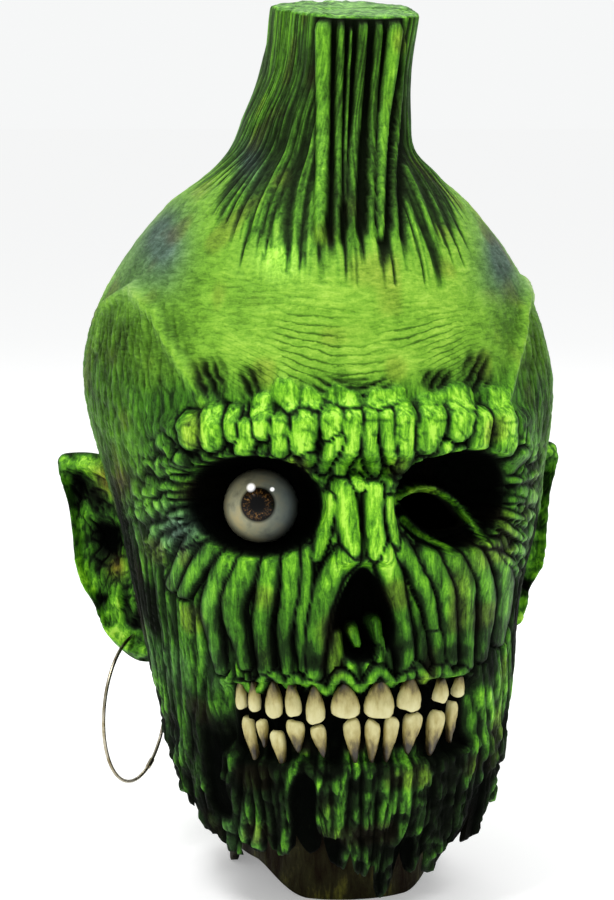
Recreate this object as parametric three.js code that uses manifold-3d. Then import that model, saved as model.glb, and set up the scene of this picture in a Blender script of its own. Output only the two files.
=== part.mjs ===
// A rubber zombie mask that covers the whole head: one hollow latex cast with a mohawk, ears, eye sockets and a torn
// hem over a short neck, and on it a domed eye, two rows of teeth and a wire hoop through one ear lobe.
// Millimetres. +Z is up, the face looks along -Y, and the origin is on the floor under the middle of the neck.

import * as THREE from "three";
import { mergeVertices } from "three/addons/utils/BufferGeometryUtils.js";
import Module from "manifold-3d";

const wasm = await Module();
wasm.setup();

// Driving sizes of the cast
const SKULL_WIDTH = 206;
const SKULL_HEIGHT = 320; // floor to the root of the mohawk
const FACE_DEPTH = 110; // upright axis to the face
const SKULL_BACK = 121; // upright axis to the back of the skull
const WALL = 3;
const MOHAWK_HEIGHT = 58.5;
const MOHAWK_WIDTH = 59.5;
const MOHAWK_FRONT = 54;
const MOHAWK_BACK = 37;
const MOHAWK_SHIFT = 14.8; // the crest leans this far off the middle
const MOHAWK_SKEW = 0.05; // runs this much across it
const MOHAWK_FLARE = 0.2; // and is narrower at its front by this share
const MOHAWK_RISE = 10; // front edge to back edge of its top
const MOHAWK_EDGE = 3; // how far its rounded top edge turns in
const NECK_WIDTH = 92;
const NECK_SHIFT = 8;
const NECK_FRONT = 62;
const NECK_BACK = 50;
const NECK_ARCH = 12; // the rim lifts this much at its sides
const SHRED_THICKNESS = 4;
const SHRED_NOTCH = 11; // depth of the tears between the shreds

// Driving sizes of the features
const SOCKET_DEPTH = 20;
const SOCKET_HALF_WIDTH = 27;
const SOCKET_HALF_HEIGHT = 21;
const NOSE_DEPTH = 13;
const NOSE_HALF_WIDTH = 15.5;
const NOSE_HALF_HEIGHT = 20;
const BRIDGE_HEIGHT = 7;
const MOUTH_DEPTH = 6;
const MOUTH_HALF_WIDTH = 57;
const MOUTH_HALF_HEIGHT = 19;
const BROW_HEIGHT = 8;
const BROW_HALF_HEIGHT = 14;
const BROW_DROP = 12.7; // how far the brow would sink at the full half width
const FOLD_HEIGHT = 3;
const FOLD_WIDTH = 12;
const JAW_STRIP_HEIGHT = 2.4;
const TEMPLE_RIDGE_HEIGHT = 2.6;
const TEMPLE_RIDGE_HALF_WIDTH = 6;
const RIB_WIDTH = 8.5;
const RIB_DEPTH = 2.2;
const LID_HALF_LENGTH = 18.5;
const LID_HALF_HEIGHT = 8;
const LID_WIDTH = 4;
const LID_POINT = 6; // how far the lids run on past the ends of the slit
const LID_HEIGHT = 7;
const LID_TILT_DEG = -19;

// Driving sizes of what is fixed to the cast
const CLEARANCE = 0.3;
const EYE_DIAMETER = 31;
const EYE_SINK = 4; // face to the front of the eye
const EYE_BITE = 1.2; // how far its flat back is let into the socket
const TOOTH_THICKNESS = 6;
const TOOTH_BITE = 2; // how far a tooth is let into the gum
const TOOTH_SLACK = 1.7; // its seat is this many clearances larger, which leaves one square to its sloped sides
const EAR_HEIGHT = 92;
const EAR_WIDTH = 61;
const EAR_THICKNESS = 7;
const EAR_FLARE_DEG = 31;
const HOOP_DIAMETER = 66;
const HOOP_WIRE = 1.6;
const PIERCING_PLAY = 0.9; // round the wire, in the hole of the lobe

// Fineness of the facets
const FRONT_COLUMNS = 44; // over the front 100 degrees
const REAR_COLUMNS = 24; // over the other 260 degrees
const CAVITY_COLUMNS = 32;
const TOOTH_SIDES = 6;
const PIERCING_SIDES = 8;
const EYE_SIDES = 16;
const HOOP_STEPS = 28;
const WIRE_SIDES = 6;

// Sections of the head, from the floor up. up is a share of SKULL_HEIGHT, half and shift of half SKULL_WIDTH, widest
// and front of FACE_DEPTH, back of SKULL_BACK. power squares the outline; rows is the rings up to the next section.
const HEAD_SECTIONS = [
  { up: 0.0, half: 0.5, widest: 0.33, front: 0.71, back: 0.42, power: 2.3, shift: 0.04, rows: 1 },
  { up: 0.075, half: 0.6, widest: 0.33, front: 0.82, back: 0.45, power: 2.3, shift: 0.045, rows: 1 },
  { up: 0.184, half: 0.7, widest: 0.3, front: 0.95, back: 0.5, power: 2.2, shift: 0.03, rows: 3 },
  { up: 0.294, half: 0.75, widest: 0.28, front: 1.02, back: 0.5, power: 2.05, shift: 0.02, rows: 4 },
  { up: 0.403, half: 0.8, widest: 0.24, front: 1.02, back: 0.62, power: 2.05, shift: 0.005, rows: 4 },
  { up: 0.497, half: 0.865, widest: 0.15, front: 1.01, back: 0.85, power: 2.2, shift: 0.02, rows: 5 },
  { up: 0.591, half: 0.94, widest: 0.05, front: 0.99, back: 0.95, power: 2.2, shift: 0.015, rows: 5 },
  { up: 0.684, half: 0.985, widest: -0.02, front: 1.0, back: 1.0, power: 2.15, shift: 0.01, rows: 2 },
  { up: 0.769, half: 0.935, widest: -0.03, front: 0.97, back: 0.98, power: 2.1, shift: 0.005, rows: 2 },
  { up: 0.85, half: 0.81, widest: -0.03, front: 0.91, back: 0.91, power: 2.1, shift: 0.013, rows: 2 },
  { up: 0.919, half: 0.64, widest: -0.03, front: 0.8, back: 0.8, power: 2.1, shift: 0.018, rows: 1 },
  { up: 0.966, half: 0.46, widest: -0.02, front: 0.68, back: 0.66, power: 2.3, shift: 0.03, rows: 1 },
];

// Sections of the mohawk. up is a share of MOHAWK_HEIGHT above SKULL_HEIGHT, half of half MOHAWK_WIDTH, front and back
// of MOHAWK_FRONT and MOHAWK_BACK, shift, skew, flare and rise of MOHAWK_SHIFT, _SKEW, _FLARE and _RISE.
const MOHAWK_SECTIONS = [
  { up: 0, half: 1.22, front: 1.22, back: 1.75, power: 2.8, shift: 0.25, skew: 0, flare: 0.3, rise: 0, rows: 1 },
  { up: 0.24, half: 1.09, front: 1.09, back: 1.6, power: 3.8, shift: 0.46, skew: 0.5, flare: 0.6, rise: 0, rows: 1 },
  { up: 0.58, half: 0.975, front: 1.02, back: 1.36, power: 5, shift: 0.8, skew: 1, flare: 1, rise: 0.4, rows: 1 },
  { up: 1, half: 0.975, front: 1, back: 1, power: 6, shift: 1, skew: 1, flare: 1, rise: 1, rows: 1 },
];

// The torn hem, from the front round either side to the back: at is the middle of a shred in degrees from the front,
// and tip the height of its end as a share of SKULL_HEIGHT. The two sides of the face have their own rows.
const SHREDS_LEFT = [
  { at: 0, tip: 0.045 }, { at: 11, tip: 0.02 }, { at: 22, tip: 0.055 }, { at: 33, tip: 0.05 },
  { at: 44, tip: 0.085 }, { at: 55, tip: 0.07 }, { at: 67, tip: 0.12 }, { at: 82, tip: 0.15 },
  { at: 97, tip: 0.125 }, { at: 112, tip: 0.09 }, { at: 127, tip: 0.115 }, { at: 142, tip: 0.085 },
  { at: 157, tip: 0.11 }, { at: 172, tip: 0.09 }, { at: 187, tip: 0.1 },
];
const SHREDS_RIGHT = [
  { at: 0, tip: 0.045 }, { at: 11, tip: 0.07 }, { at: 22, tip: 0.09 }, { at: 33, tip: 0.08 },
  { at: 44, tip: 0.09 }, { at: 56, tip: 0.08 }, { at: 69, tip: 0.1 }, { at: 82, tip: 0.17 },
  { at: 97, tip: 0.125 }, { at: 112, tip: 0.1 }, { at: 127, tip: 0.085 }, { at: 142, tip: 0.12 },
  { at: 157, tip: 0.09 }, { at: 172, tip: 0.1 }, { at: 187, tip: 0.09 },
];
// Height of the underside behind the shreds, by degrees from the front, as a share of SKULL_HEIGHT.
const UNDERSIDE = [
  { at: 0, up: 0.14 }, { at: 40, up: 0.15 }, { at: 80, up: 0.2 }, { at: 115, up: 0.17 }, { at: 180, up: 0.15 },
];

// Places on the face: x as a share of half SKULL_WIDTH, up of SKULL_HEIGHT.
const RIGHT_SOCKET_PLACE = { x: -0.415, up: 0.56 };
const LEFT_SOCKET_PLACE = { x: 0.395, up: 0.562 };
const EYE_PLACE = { x: -0.443, up: 0.552 };
const LID_PLACE = { x: 0.37, up: 0.544 };
const NOSE_PLACE = { x: 0, up: 0.422 };
const BRIDGE_PLACE = { x: 0, up: 0.545 };
const MOUTH_PLACE = { x: -0.02, up: 0.278 };
const BROW_PLACE = { x: 0, up: 0.653 };
// The middle of each ear, back as a share of SKULL_BACK, and the hole in the right one's lobe from there: out is a
// share of EAR_WIDTH and up of EAR_HEIGHT.
const RIGHT_EAR_PLACE = { x: -0.89, up: 0.436, back: 0.07 };
const LEFT_EAR_PLACE = { x: 0.935, up: 0.436, back: 0.07 };
const PIERCING_PLACE = { out: -0.195, up: -0.37 };
// The ridge that bounds each temple: at is in degrees from the front.
const TEMPLE_RIDGE = [
  { at: 82, up: 0.79 }, { at: 66, up: 0.82 }, { at: 50, up: 0.79 }, { at: 39, up: 0.73 }, { at: 33, up: 0.68 },
];

// Teeth, from the wearer's right to the left: x and width as shares of MOUTH_HALF_WIDTH, low and high of SKULL_HEIGHT,
// and lean in degrees of the root towards the wearer's left.
const UPPER_TEETH = [
  { x: -0.837, low: 0.291, high: 0.332, width: 0.079, lean: 0 },
  { x: -0.748, low: 0.29, high: 0.33, width: 0.093, lean: -2 },
  { x: -0.612, low: 0.284, high: 0.333, width: 0.13, lean: 1 },
  { x: -0.478, low: 0.287, high: 0.335, width: 0.12, lean: -5 },
  { x: -0.315, low: 0.279, high: 0.33, width: 0.142, lean: -2 },
  { x: -0.092, low: 0.287, high: 0.333, width: 0.212, lean: -3 },
  { x: 0.175, low: 0.286, high: 0.336, width: 0.228, lean: 3 },
  { x: 0.413, low: 0.292, high: 0.337, width: 0.192, lean: 2 },
  { x: 0.68, low: 0.297, high: 0.331, width: 0.135, lean: 7 },
  { x: 0.841, low: 0.299, high: 0.333, width: 0.11, lean: 6 },
];
const LOWER_TEETH = [
  { x: -0.755, low: 0.213, high: 0.278, width: 0.093, lean: 9 },
  { x: -0.682, low: 0.241, high: 0.278, width: 0.079, lean: 6 },
  { x: -0.558, low: 0.212, high: 0.264, width: 0.107, lean: 9 },
  { x: -0.442, low: 0.237, high: 0.28, width: 0.135, lean: 6 },
  { x: -0.267, low: 0.231, high: 0.274, width: 0.113, lean: 12 },
  { x: -0.02, low: 0.22, high: 0.282, width: 0.126, lean: 7 },
  { x: 0.125, low: 0.218, high: 0.279, width: 0.113, lean: 1 },
  { x: 0.258, low: 0.22, high: 0.282, width: 0.112, lean: -6 },
  { x: 0.428, low: 0.23, high: 0.285, width: 0.144, lean: -7 },
  { x: 0.627, low: 0.224, high: 0.284, width: 0.142, lean: -8 },
  { x: 0.781, low: 0.238, high: 0.293, width: 0.074, lean: -1 },
];
// A tooth's outline: along from the biting edge to the root, half as a share of half its width.
const TOOTH_PROFILE = [
  { along: 0, half: 0.55 }, { along: 0.12, half: 0.92 }, { along: 0.4, half: 1 }, { along: 0.8, half: 0.62 },
];
// The ear's outline round its middle, from straight out up over its tip: out as a share of EAR_WIDTH and up of
// EAR_HEIGHT. Its inner side lies within the head.
const EAR_OUTLINE = [
  { out: 0.275, up: 0 }, { out: 0.29, up: 0.12 }, { out: 0.32, up: 0.25 }, { out: 0.385, up: 0.4 },
  { out: 0.4, up: 0.47 }, { out: 0.32, up: 0.5 }, { out: 0.06, up: 0.5 }, { out: -0.25, up: 0.42 },
  { out: -0.41, up: 0.2 }, { out: -0.49, up: 0 }, { out: -0.55, up: -0.27 }, { out: -0.48, up: -0.45 },
  { out: -0.27, up: -0.5 }, { out: -0.1, up: -0.45 }, { out: 0.02, up: -0.37 }, { out: 0.11, up: -0.25 },
  { out: 0.21, up: -0.13 },
];
// The ear's section from its hollow over the rolled rim to its back: reach is a share of the outline, and out of
// EAR_THICKNESS.
const EAR_SECTION = [
  { reach: 0, out: -0.45 }, { reach: 0.42, out: -0.4 }, { reach: 0.66, out: 0 }, { reach: 0.84, out: 0.5 },
  { reach: 0.97, out: 0.3 }, { reach: 1, out: -0.15 }, { reach: 0.9, out: -0.7 }, { reach: 0, out: -1.1 },
];

const HALF_WIDTH = SKULL_WIDTH / 2;
const rad = THREE.MathUtils.degToRad;
const clamp01 = (x) => Math.min(1, Math.max(0, x));

function smoothStep(from, to, x) {
  const t = clamp01((x - from) / (to - from));
  return t * t * (3 - 2 * t);
}

// Straight lines between the rows of a table, on its column key, read at x.
function readTable(rows, key, column, x) {
  if (x <= rows[0][key]) return rows[0][column];
  for (let i = 1; i < rows.length; i++) {
    if (x > rows[i][key]) continue;
    const share = (x - rows[i - 1][key]) / (rows[i][key] - rows[i - 1][key]);
    return rows[i - 1][column] + share * (rows[i][column] - rows[i - 1][column]);
  }
  return rows[rows.length - 1][column];
}

// The sections in millimetres, head first and mohawk after it.
const SECTIONS = [
  ...HEAD_SECTIONS.map((s) => ({
    z: s.up * SKULL_HEIGHT,
    half: s.half * HALF_WIDTH,
    widest: -s.widest * FACE_DEPTH,
    front: -s.front * FACE_DEPTH,
    back: s.back * SKULL_BACK,
    power: s.power,
    shift: s.shift * HALF_WIDTH,
    skew: 0,
    flare: 0,
    rise: 0,
  })),
  ...MOHAWK_SECTIONS.map((s) => ({
    z: SKULL_HEIGHT + s.up * MOHAWK_HEIGHT,
    half: (s.half * MOHAWK_WIDTH) / 2,
    widest: 0,
    front: -s.front * MOHAWK_FRONT,
    back: s.back * MOHAWK_BACK,
    power: s.power,
    shift: s.shift * MOHAWK_SHIFT,
    skew: s.skew * MOHAWK_SKEW,
    flare: (s.flare * MOHAWK_FLARE) / MOHAWK_FRONT,
    rise: (s.rise * MOHAWK_RISE) / 2,
  })),
];
const LAST_SECTION = SECTIONS.length - 1;

// A smooth curve through the sections: level 0 is the first and LAST_SECTION the last.
function sectionAt(level) {
  const i = Math.min(LAST_SECTION - 1, Math.max(0, Math.floor(level)));
  const u = level - i;
  const [p, q, r, s] = [-1, 0, 1, 2].map((k) => SECTIONS[Math.min(LAST_SECTION, Math.max(0, i + k))]);
  const made = {};
  for (const key of Object.keys(q)) {
    const bend = (2 * p[key] - 5 * q[key] + 4 * r[key] - s[key]) * u * u;
    const twist = (3 * q[key] - p[key] - 3 * r[key] + s[key]) * u * u * u;
    made[key] = 0.5 * (2 * q[key] + (r[key] - p[key]) * u + bend + twist);
  }
  return made;
}

// A point of a closed outline at an angle from the front, positive towards +X.
function outlinePoint(s, angle) {
  const side = Math.sin(angle);
  const ahead = Math.cos(angle);
  const reach = ahead > 0 ? s.widest - s.front : s.back - s.widest;
  const sum = Math.abs(side / s.half) ** s.power + Math.abs(ahead / reach) ** s.power;
  const radius = sum ** (-1 / s.power);
  const y = s.widest - radius * ahead;
  const x = radius * side * (1 + s.flare * y) + s.shift + s.skew * y;
  return new THREE.Vector3(x, y, s.z - s.rise * ahead * Math.abs(ahead));
}

const formPoint = (angle, level) => outlinePoint(sectionAt(level), angle);

function formNormal(angle, level) {
  const step = 1e-3;
  const across = formPoint(angle + step, level).sub(formPoint(angle - step, level));
  const upper = Math.min(LAST_SECTION, level + step);
  const lower = Math.max(0, level - step);
  const along = formPoint(angle, upper).sub(formPoint(angle, lower));
  return across.cross(along).normalize();
}

// The level of the head's form at a height.
function levelAt(z) {
  let low = 0;
  let high = LAST_SECTION;
  for (let k = 0; k < 40; k++) {
    const middle = (low + high) / 2;
    if (sectionAt(middle).z < z) low = middle;
    else high = middle;
  }
  return (low + high) / 2;
}

// The angle at which the front of the form reaches x, at a level.
function angleAtX(x, level) {
  let low = -Math.PI / 2;
  let high = Math.PI / 2;
  for (let k = 0; k < 40; k++) {
    const middle = (low + high) / 2;
    if (formPoint(middle, level).x < x) low = middle;
    else high = middle;
  }
  return (low + high) / 2;
}

// A place on the form's front and the frame there: across, up and out.
function seatOnFace(x, z) {
  const level = levelAt(z);
  const angle = angleAtX(x, level);
  const out = formNormal(angle, level);
  const across = new THREE.Vector3(0, 0, 1).cross(out).normalize();
  return { point: formPoint(angle, level), out, across, up: out.clone().cross(across) };
}

const facePlace = (place) => ({ x: place.x * HALF_WIDTH, z: place.up * SKULL_HEIGHT });

// How far the face is pushed in at a point. For the inside of the cast, grow widens each hollow and backing deepens
// the mouth behind the gums.
function hollowDepth(p, grow, backing) {
  if (p.y > 0) return 0;
  const socket = facePlace(p.x < 0 ? RIGHT_SOCKET_PLACE : LEFT_SOCKET_PLACE);
  const nose = facePlace(NOSE_PLACE);
  const mouth = facePlace(MOUTH_PLACE);
  const inSocket = Math.hypot(
    (p.x - socket.x) / (SOCKET_HALF_WIDTH + grow),
    (p.z - socket.z) / (SOCKET_HALF_HEIGHT + grow),
  );
  const narrowing = 1 - 0.6 * clamp01((p.z - nose.z + 0.6 * NOSE_HALF_HEIGHT) / (1.8 * NOSE_HALF_HEIGHT));
  const inNose = Math.hypot(
    (p.x - nose.x) / (NOSE_HALF_WIDTH * narrowing + grow),
    (p.z - nose.z) / (NOSE_HALF_HEIGHT + grow),
  );
  const inMouth =
    (((p.x - mouth.x) / (MOUTH_HALF_WIDTH + grow)) ** 6 + ((p.z - mouth.z) / (MOUTH_HALF_HEIGHT + grow)) ** 6) **
    (1 / 6);
  return Math.max(
    SOCKET_DEPTH * smoothStep(1.1, 0.7, inSocket),
    NOSE_DEPTH * smoothStep(1.15, 0.5, inNose),
    (MOUTH_DEPTH + backing) * smoothStep(1, 0.88, inMouth),
  );
}

// A row of rounded ridges with sharp valleys: 1 on a crest and 0 in a valley.
const ridges = (x, width) => Math.sqrt(Math.abs(Math.cos((Math.PI * x) / width)));

function browHeight(p) {
  if (p.y > 0) return 0;
  const brow = facePlace(BROW_PLACE);
  const off = Math.abs(p.z - brow.z + BROW_DROP * (p.x / HALF_WIDTH) ** 2) / BROW_HALF_HEIGHT;
  const fade = smoothStep(0.82, 0.62, Math.abs(p.x) / HALF_WIDTH);
  return BROW_HEIGHT * (0.6 + 0.4 * ridges(p.x, FOLD_WIDTH)) * smoothStep(1.05, 0.45, off) * fade;
}

function bridgeHeight(p) {
  if (p.y > 0) return 0;
  const bridge = facePlace(BRIDGE_PLACE);
  const beside = Math.abs(p.x - bridge.x) / NOSE_HALF_WIDTH;
  const off = Math.abs(p.z - bridge.z) / (0.95 * NOSE_HALF_HEIGHT);
  const groove = 1 - 0.4 * smoothStep(0.25, 0, beside);
  return BRIDGE_HEIGHT * smoothStep(1, 0.4, beside) * smoothStep(1.1, 0.8, off) * groove;
}

// Folds that fan out under each eye and hang straight below, clear of the nose.
function foldHeight(p) {
  if (p.y > 0) return 0;
  const socket = facePlace(p.x < 0 ? RIGHT_SOCKET_PLACE : LEFT_SOCKET_PLACE);
  const nose = facePlace(NOSE_PLACE);
  const x = Math.abs(p.x) - Math.abs(socket.x);
  const below = socket.z - p.z;
  const far = Math.hypot(x, below);
  const fan = Math.atan2(x, below) * 1.4 * SOCKET_HALF_WIDTH;
  const hang = smoothStep(1.2, 2.6, far / SOCKET_HALF_HEIGHT);
  const across = fan + hang * (x - fan);
  const ends = smoothStep(0.85, 1.1, far / SOCKET_HALF_HEIGHT) * smoothStep(0.345, 0.37, p.z / SKULL_HEIGHT);
  const besideNose = Math.max(
    smoothStep(1, 1.3, Math.abs(p.x - nose.x) / NOSE_HALF_WIDTH),
    smoothStep(0.9, 1.2, (nose.z - p.z) / NOSE_HALF_HEIGHT),
  );
  const underEye = smoothStep(-0.1, 0.4, below / SOCKET_HALF_HEIGHT);
  return FOLD_HEIGHT * ridges(across, FOLD_WIDTH) * ends * besideNose * underEye;
}

// Torn strips that hang down the jaw and the nape.
function jawHeight(p, angle, level) {
  const strips = ridges(angle * sectionAt(level).half, FOLD_WIDTH);
  return JAW_STRIP_HEIGHT * strips * smoothStep(0.4, 0.33, p.z / SKULL_HEIGHT);
}

function templeHeight(p, angle) {
  const reach = HALF_WIDTH * Math.abs(angle);
  let nearest = Infinity;
  for (let i = 1; i < TEMPLE_RIDGE.length; i++) {
    const [a, b] = [TEMPLE_RIDGE[i - 1], TEMPLE_RIDGE[i]].map(
      (r) => new THREE.Vector2(HALF_WIDTH * rad(r.at), r.up * SKULL_HEIGHT),
    );
    const along = b.clone().sub(a);
    const from = new THREE.Vector2(reach, p.z).sub(a);
    const share = clamp01(from.dot(along) / along.lengthSq());
    nearest = Math.min(nearest, from.sub(along.multiplyScalar(share)).length());
  }
  return TEMPLE_RIDGE_HEIGHT * smoothStep(TEMPLE_RIDGE_HALF_WIDTH, 0, nearest);
}

// Grooves down the front of the mohawk, fading on to the forehead.
function ribHeight(p, angle) {
  const across = angle * MOHAWK_FRONT;
  const front = smoothStep(0.9, 0.6, Math.abs(angle)) * smoothStep(0.86, 0.97, p.z / SKULL_HEIGHT);
  return -RIB_DEPTH * (1 - ridges(across, RIB_WIDTH) ** 2) * front;
}

function reliefHeight(p, angle, level) {
  const raised = browHeight(p) + bridgeHeight(p) + templeHeight(p, angle) + ribHeight(p, angle);
  return raised + foldHeight(p) + jawHeight(p, angle, level) - hollowDepth(p, 0, 0);
}

function skinPoint(angle, level) {
  const p = formPoint(angle, level);
  return p.clone().addScaledVector(formNormal(angle, level), reliefHeight(p, angle, level));
}

// The end of the shred at an angle: each hangs round-ended, with a tear on either side.
function hemHeight(angle) {
  const shreds = angle < 0 ? SHREDS_RIGHT : SHREDS_LEFT;
  const degrees = Math.abs(THREE.MathUtils.radToDeg(angle));
  let i = 0;
  while (i < shreds.length - 2 && degrees > (shreds[i].at + shreds[i + 1].at) / 2) i++;
  const from = i ? (shreds[i - 1].at + shreds[i].at) / 2 : -shreds[1].at / 2;
  const to = (shreds[i].at + shreds[i + 1].at) / 2;
  const aside = Math.abs((2 * (degrees - from)) / (to - from) - 1);
  return shreds[i].tip * SKULL_HEIGHT + SHRED_NOTCH * aside ** 3;
}

function undersideHeight(angle) {
  return readTable(UNDERSIDE, "at", "up", Math.abs(THREE.MathUtils.radToDeg(angle))) * SKULL_HEIGHT;
}

// The height of the neck's rim: flat on the floor at the front and all round the back.
function rimHeight(angle) {
  const degrees = Math.abs(THREE.MathUtils.radToDeg(angle));
  return NECK_ARCH * smoothStep(20, 50, degrees) * smoothStep(95, 70, degrees);
}

function neckPoint(angle, z, inset) {
  const neck = {
    half: NECK_WIDTH / 2 - inset,
    widest: 0,
    front: inset - NECK_FRONT,
    back: NECK_BACK - inset,
    power: 2.2,
    shift: NECK_SHIFT,
    skew: 0,
    flare: 0,
    rise: 0,
    z,
  };
  return outlinePoint(neck, angle);
}

// A closed solid through rings of points, with a point at each end. Rings run from the top down.
function solidFromRings(rings, top, bottom) {
  const columns = rings[0].length;
  const points = [top, ...rings.flat(), bottom];
  const faces = [];
  const at = (ring, column) => 1 + ring * columns + (column % columns);
  for (let c = 0; c < columns; c++) {
    faces.push(0, at(0, c), at(0, c + 1));
    for (let r = 0; r + 1 < rings.length; r++) {
      faces.push(at(r, c), at(r + 1, c), at(r + 1, c + 1));
      faces.push(at(r, c), at(r + 1, c + 1), at(r, c + 1));
    }
    faces.push(points.length - 1, at(rings.length - 1, c + 1), at(rings.length - 1, c));
  }
  const geometry = new THREE.BufferGeometry().setFromPoints(points);
  geometry.setIndex(faces);
  return solidFrom(geometry);
}

// A three.js geometry as a solid for joining and cutting.
function solidFrom(geometry) {
  const bare = geometry.clone();
  bare.deleteAttribute("normal");
  bare.deleteAttribute("uv");
  const merged = mergeVertices(bare, 1e-4);
  const index = merged.index.array;
  const kept = [];
  for (let i = 0; i < index.length; i += 3) {
    const [a, b, c] = [index[i], index[i + 1], index[i + 2]];
    if (a !== b && b !== c && c !== a) kept.push(a, b, c);
  }
  const vertProperties = new Float32Array(merged.attributes.position.array);
  return new wasm.Manifold(new wasm.Mesh({ numProp: 3, vertProperties, triVerts: new Uint32Array(kept) }));
}

function geometryFrom(solid) {
  const mesh = solid.getMesh();
  const geometry = new THREE.BufferGeometry();
  geometry.setAttribute("position", new THREE.BufferAttribute(new Float32Array(mesh.vertProperties), mesh.numProp));
  geometry.setIndex(new THREE.BufferAttribute(new Uint32Array(mesh.triVerts), 1));
  geometry.computeVertexNormals();
  return geometry;
}

// The angles of the columns, close together over the face.
function columnAngles() {
  const angles = [];
  for (let c = 0; c < FRONT_COLUMNS; c++) angles.push(-50 + (100 * c) / FRONT_COLUMNS);
  for (let c = 0; c < REAR_COLUMNS; c++) angles.push(50 + (260 * c) / REAR_COLUMNS);
  return angles.map((degrees) => rad(degrees > 180 ? degrees - 360 : degrees));
}

// The levels of the rings from the top of the mohawk down to the first section above the hem.
function ringLevels(thin) {
  const rows = [...HEAD_SECTIONS, ...MOHAWK_SECTIONS].map((s) => s.rows);
  const levels = [LAST_SECTION];
  for (let i = LAST_SECTION - 1; i >= 2; i--) {
    const count = Math.max(1, Math.round(rows[i] / thin));
    for (let k = count - 1; k >= 0; k--) levels.push(i + k / count);
  }
  return levels;
}

// The top of the mohawk: rings that turn in over its edge, and the middle point.
function crownRing(ring, inward, lift) {
  const middle = crownMiddle();
  return ring.map((p) => {
    const from = p.clone().sub(middle);
    const share = 1 - inward / Math.hypot(from.x, from.y);
    return middle.clone().addScaledVector(from, share).add(new THREE.Vector3(0, 0, lift));
  });
}

function crownMiddle() {
  const s = SECTIONS[LAST_SECTION];
  return new THREE.Vector3(s.shift, 0, s.z);
}

function outerSolid() {
  const angles = columnAngles();
  const rings = ringLevels(1).map((level) => angles.map((angle) => skinPoint(angle, level)));
  rings.unshift(crownRing(rings[0], MOHAWK_EDGE, MOHAWK_EDGE / 2));
  const hemTop = SECTIONS[2].z;
  for (const share of [0.5, 0.85, 1]) {
    rings.push(
      angles.map((angle) => {
        const z = hemTop + share * (hemHeight(angle) - hemTop);
        const p = skinPoint(angle, levelAt(z));
        const tuck = share === 1 ? SHRED_THICKNESS / 2 : 0;
        return p.addScaledVector(formNormal(angle, levelAt(z)), -tuck);
      }),
    );
  }
  rings.push(
    angles.map((angle) => {
      const level = levelAt(undersideHeight(angle));
      return formPoint(angle, level).addScaledVector(formNormal(angle, level), -SHRED_THICKNESS);
    }),
  );
  rings.push(angles.map((angle) => neckPoint(angle, undersideHeight(angle), 0)));
  rings.push(angles.map((angle) => neckPoint(angle, rimHeight(angle), 0)));
  rings.push(angles.map((angle) => neckPoint(angle, rimHeight(angle), 2 * WALL)));
  const top = crownMiddle().add(new THREE.Vector3(0, 0, MOHAWK_EDGE / 2));
  return solidFromRings(rings, top, new THREE.Vector3(0, 0, NECK_ARCH));
}

// The inside of the cast, which follows the outside at the wall's thickness without its wrinkles.
function cavitySolid() {
  const angles = Array.from({ length: CAVITY_COLUMNS }, (_, c) => rad(-180 + (360 * c) / CAVITY_COLUMNS));
  const inside = (angle, level) => {
    const p = formPoint(angle, level);
    const depth = WALL + hollowDepth(p, 1.5 * WALL, TOOTH_BITE);
    return p.addScaledVector(formNormal(angle, level), -depth);
  };
  const rings = ringLevels(2).map((level) => angles.map((angle) => inside(angle, level)));
  for (const p of rings[0]) p.z -= WALL;
  rings.push(angles.map((angle) => inside(angle, levelAt(undersideHeight(angle) + WALL))));
  rings.push(angles.map((angle) => neckPoint(angle, undersideHeight(angle) + WALL, WALL)));
  rings.push(angles.map((angle) => neckPoint(angle, -WALL, WALL)));
  const top = crownMiddle().sub(new THREE.Vector3(0, 0, WALL));
  return solidFromRings(rings, top, new THREE.Vector3(0, 0, -WALL));
}

// Rings of points turned into a solid in a frame of its own: across, up and out from a point.
function placeRings(frame, rings) {
  return rings.map((ring) =>
    ring.map((p) =>
      frame.point
        .clone()
        .addScaledVector(frame.across, p.x)
        .addScaledVector(frame.up, p.z)
        .addScaledVector(frame.out, -p.y),
    ),
  );
}

// A lens with two pointed ends, as an extruded solid from depth to depth along the frame's out.
function lensSolid(frame, halfLength, halfHeight, from, to) {
  const shape = new THREE.Shape();
  shape.moveTo(-halfLength, 0);
  shape.quadraticCurveTo(0, -2 * halfHeight, halfLength, 0);
  shape.quadraticCurveTo(0, 2 * halfHeight, -halfLength, 0);
  const geometry = new THREE.ExtrudeGeometry(shape, { depth: to - from, bevelEnabled: false, curveSegments: 7 });
  geometry.translate(0, 0, from);
  geometry.rotateZ(rad(LID_TILT_DEG));
  const basis = new THREE.Matrix4().makeBasis(frame.across, frame.up, frame.out).setPosition(frame.point);
  return solidFrom(geometry.applyMatrix4(basis));
}

function lidFrame() {
  const place = facePlace(LID_PLACE);
  return seatOnFace(place.x, place.z);
}

// The two lids of the empty socket stand up from its floor round the slit that the wearer sees through.
function lidSolid() {
  const halfLength = LID_HALF_LENGTH + LID_POINT;
  const halfHeight = LID_HALF_HEIGHT + LID_WIDTH;
  return lensSolid(lidFrame(), halfLength, halfHeight, -SOCKET_DEPTH - WALL / 2, LID_HEIGHT - SOCKET_DEPTH);
}

function slitSolid() {
  return lensSolid(lidFrame(), LID_HALF_LENGTH, LID_HALF_HEIGHT, -SOCKET_DEPTH - 3 * WALL, 0);
}

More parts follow.
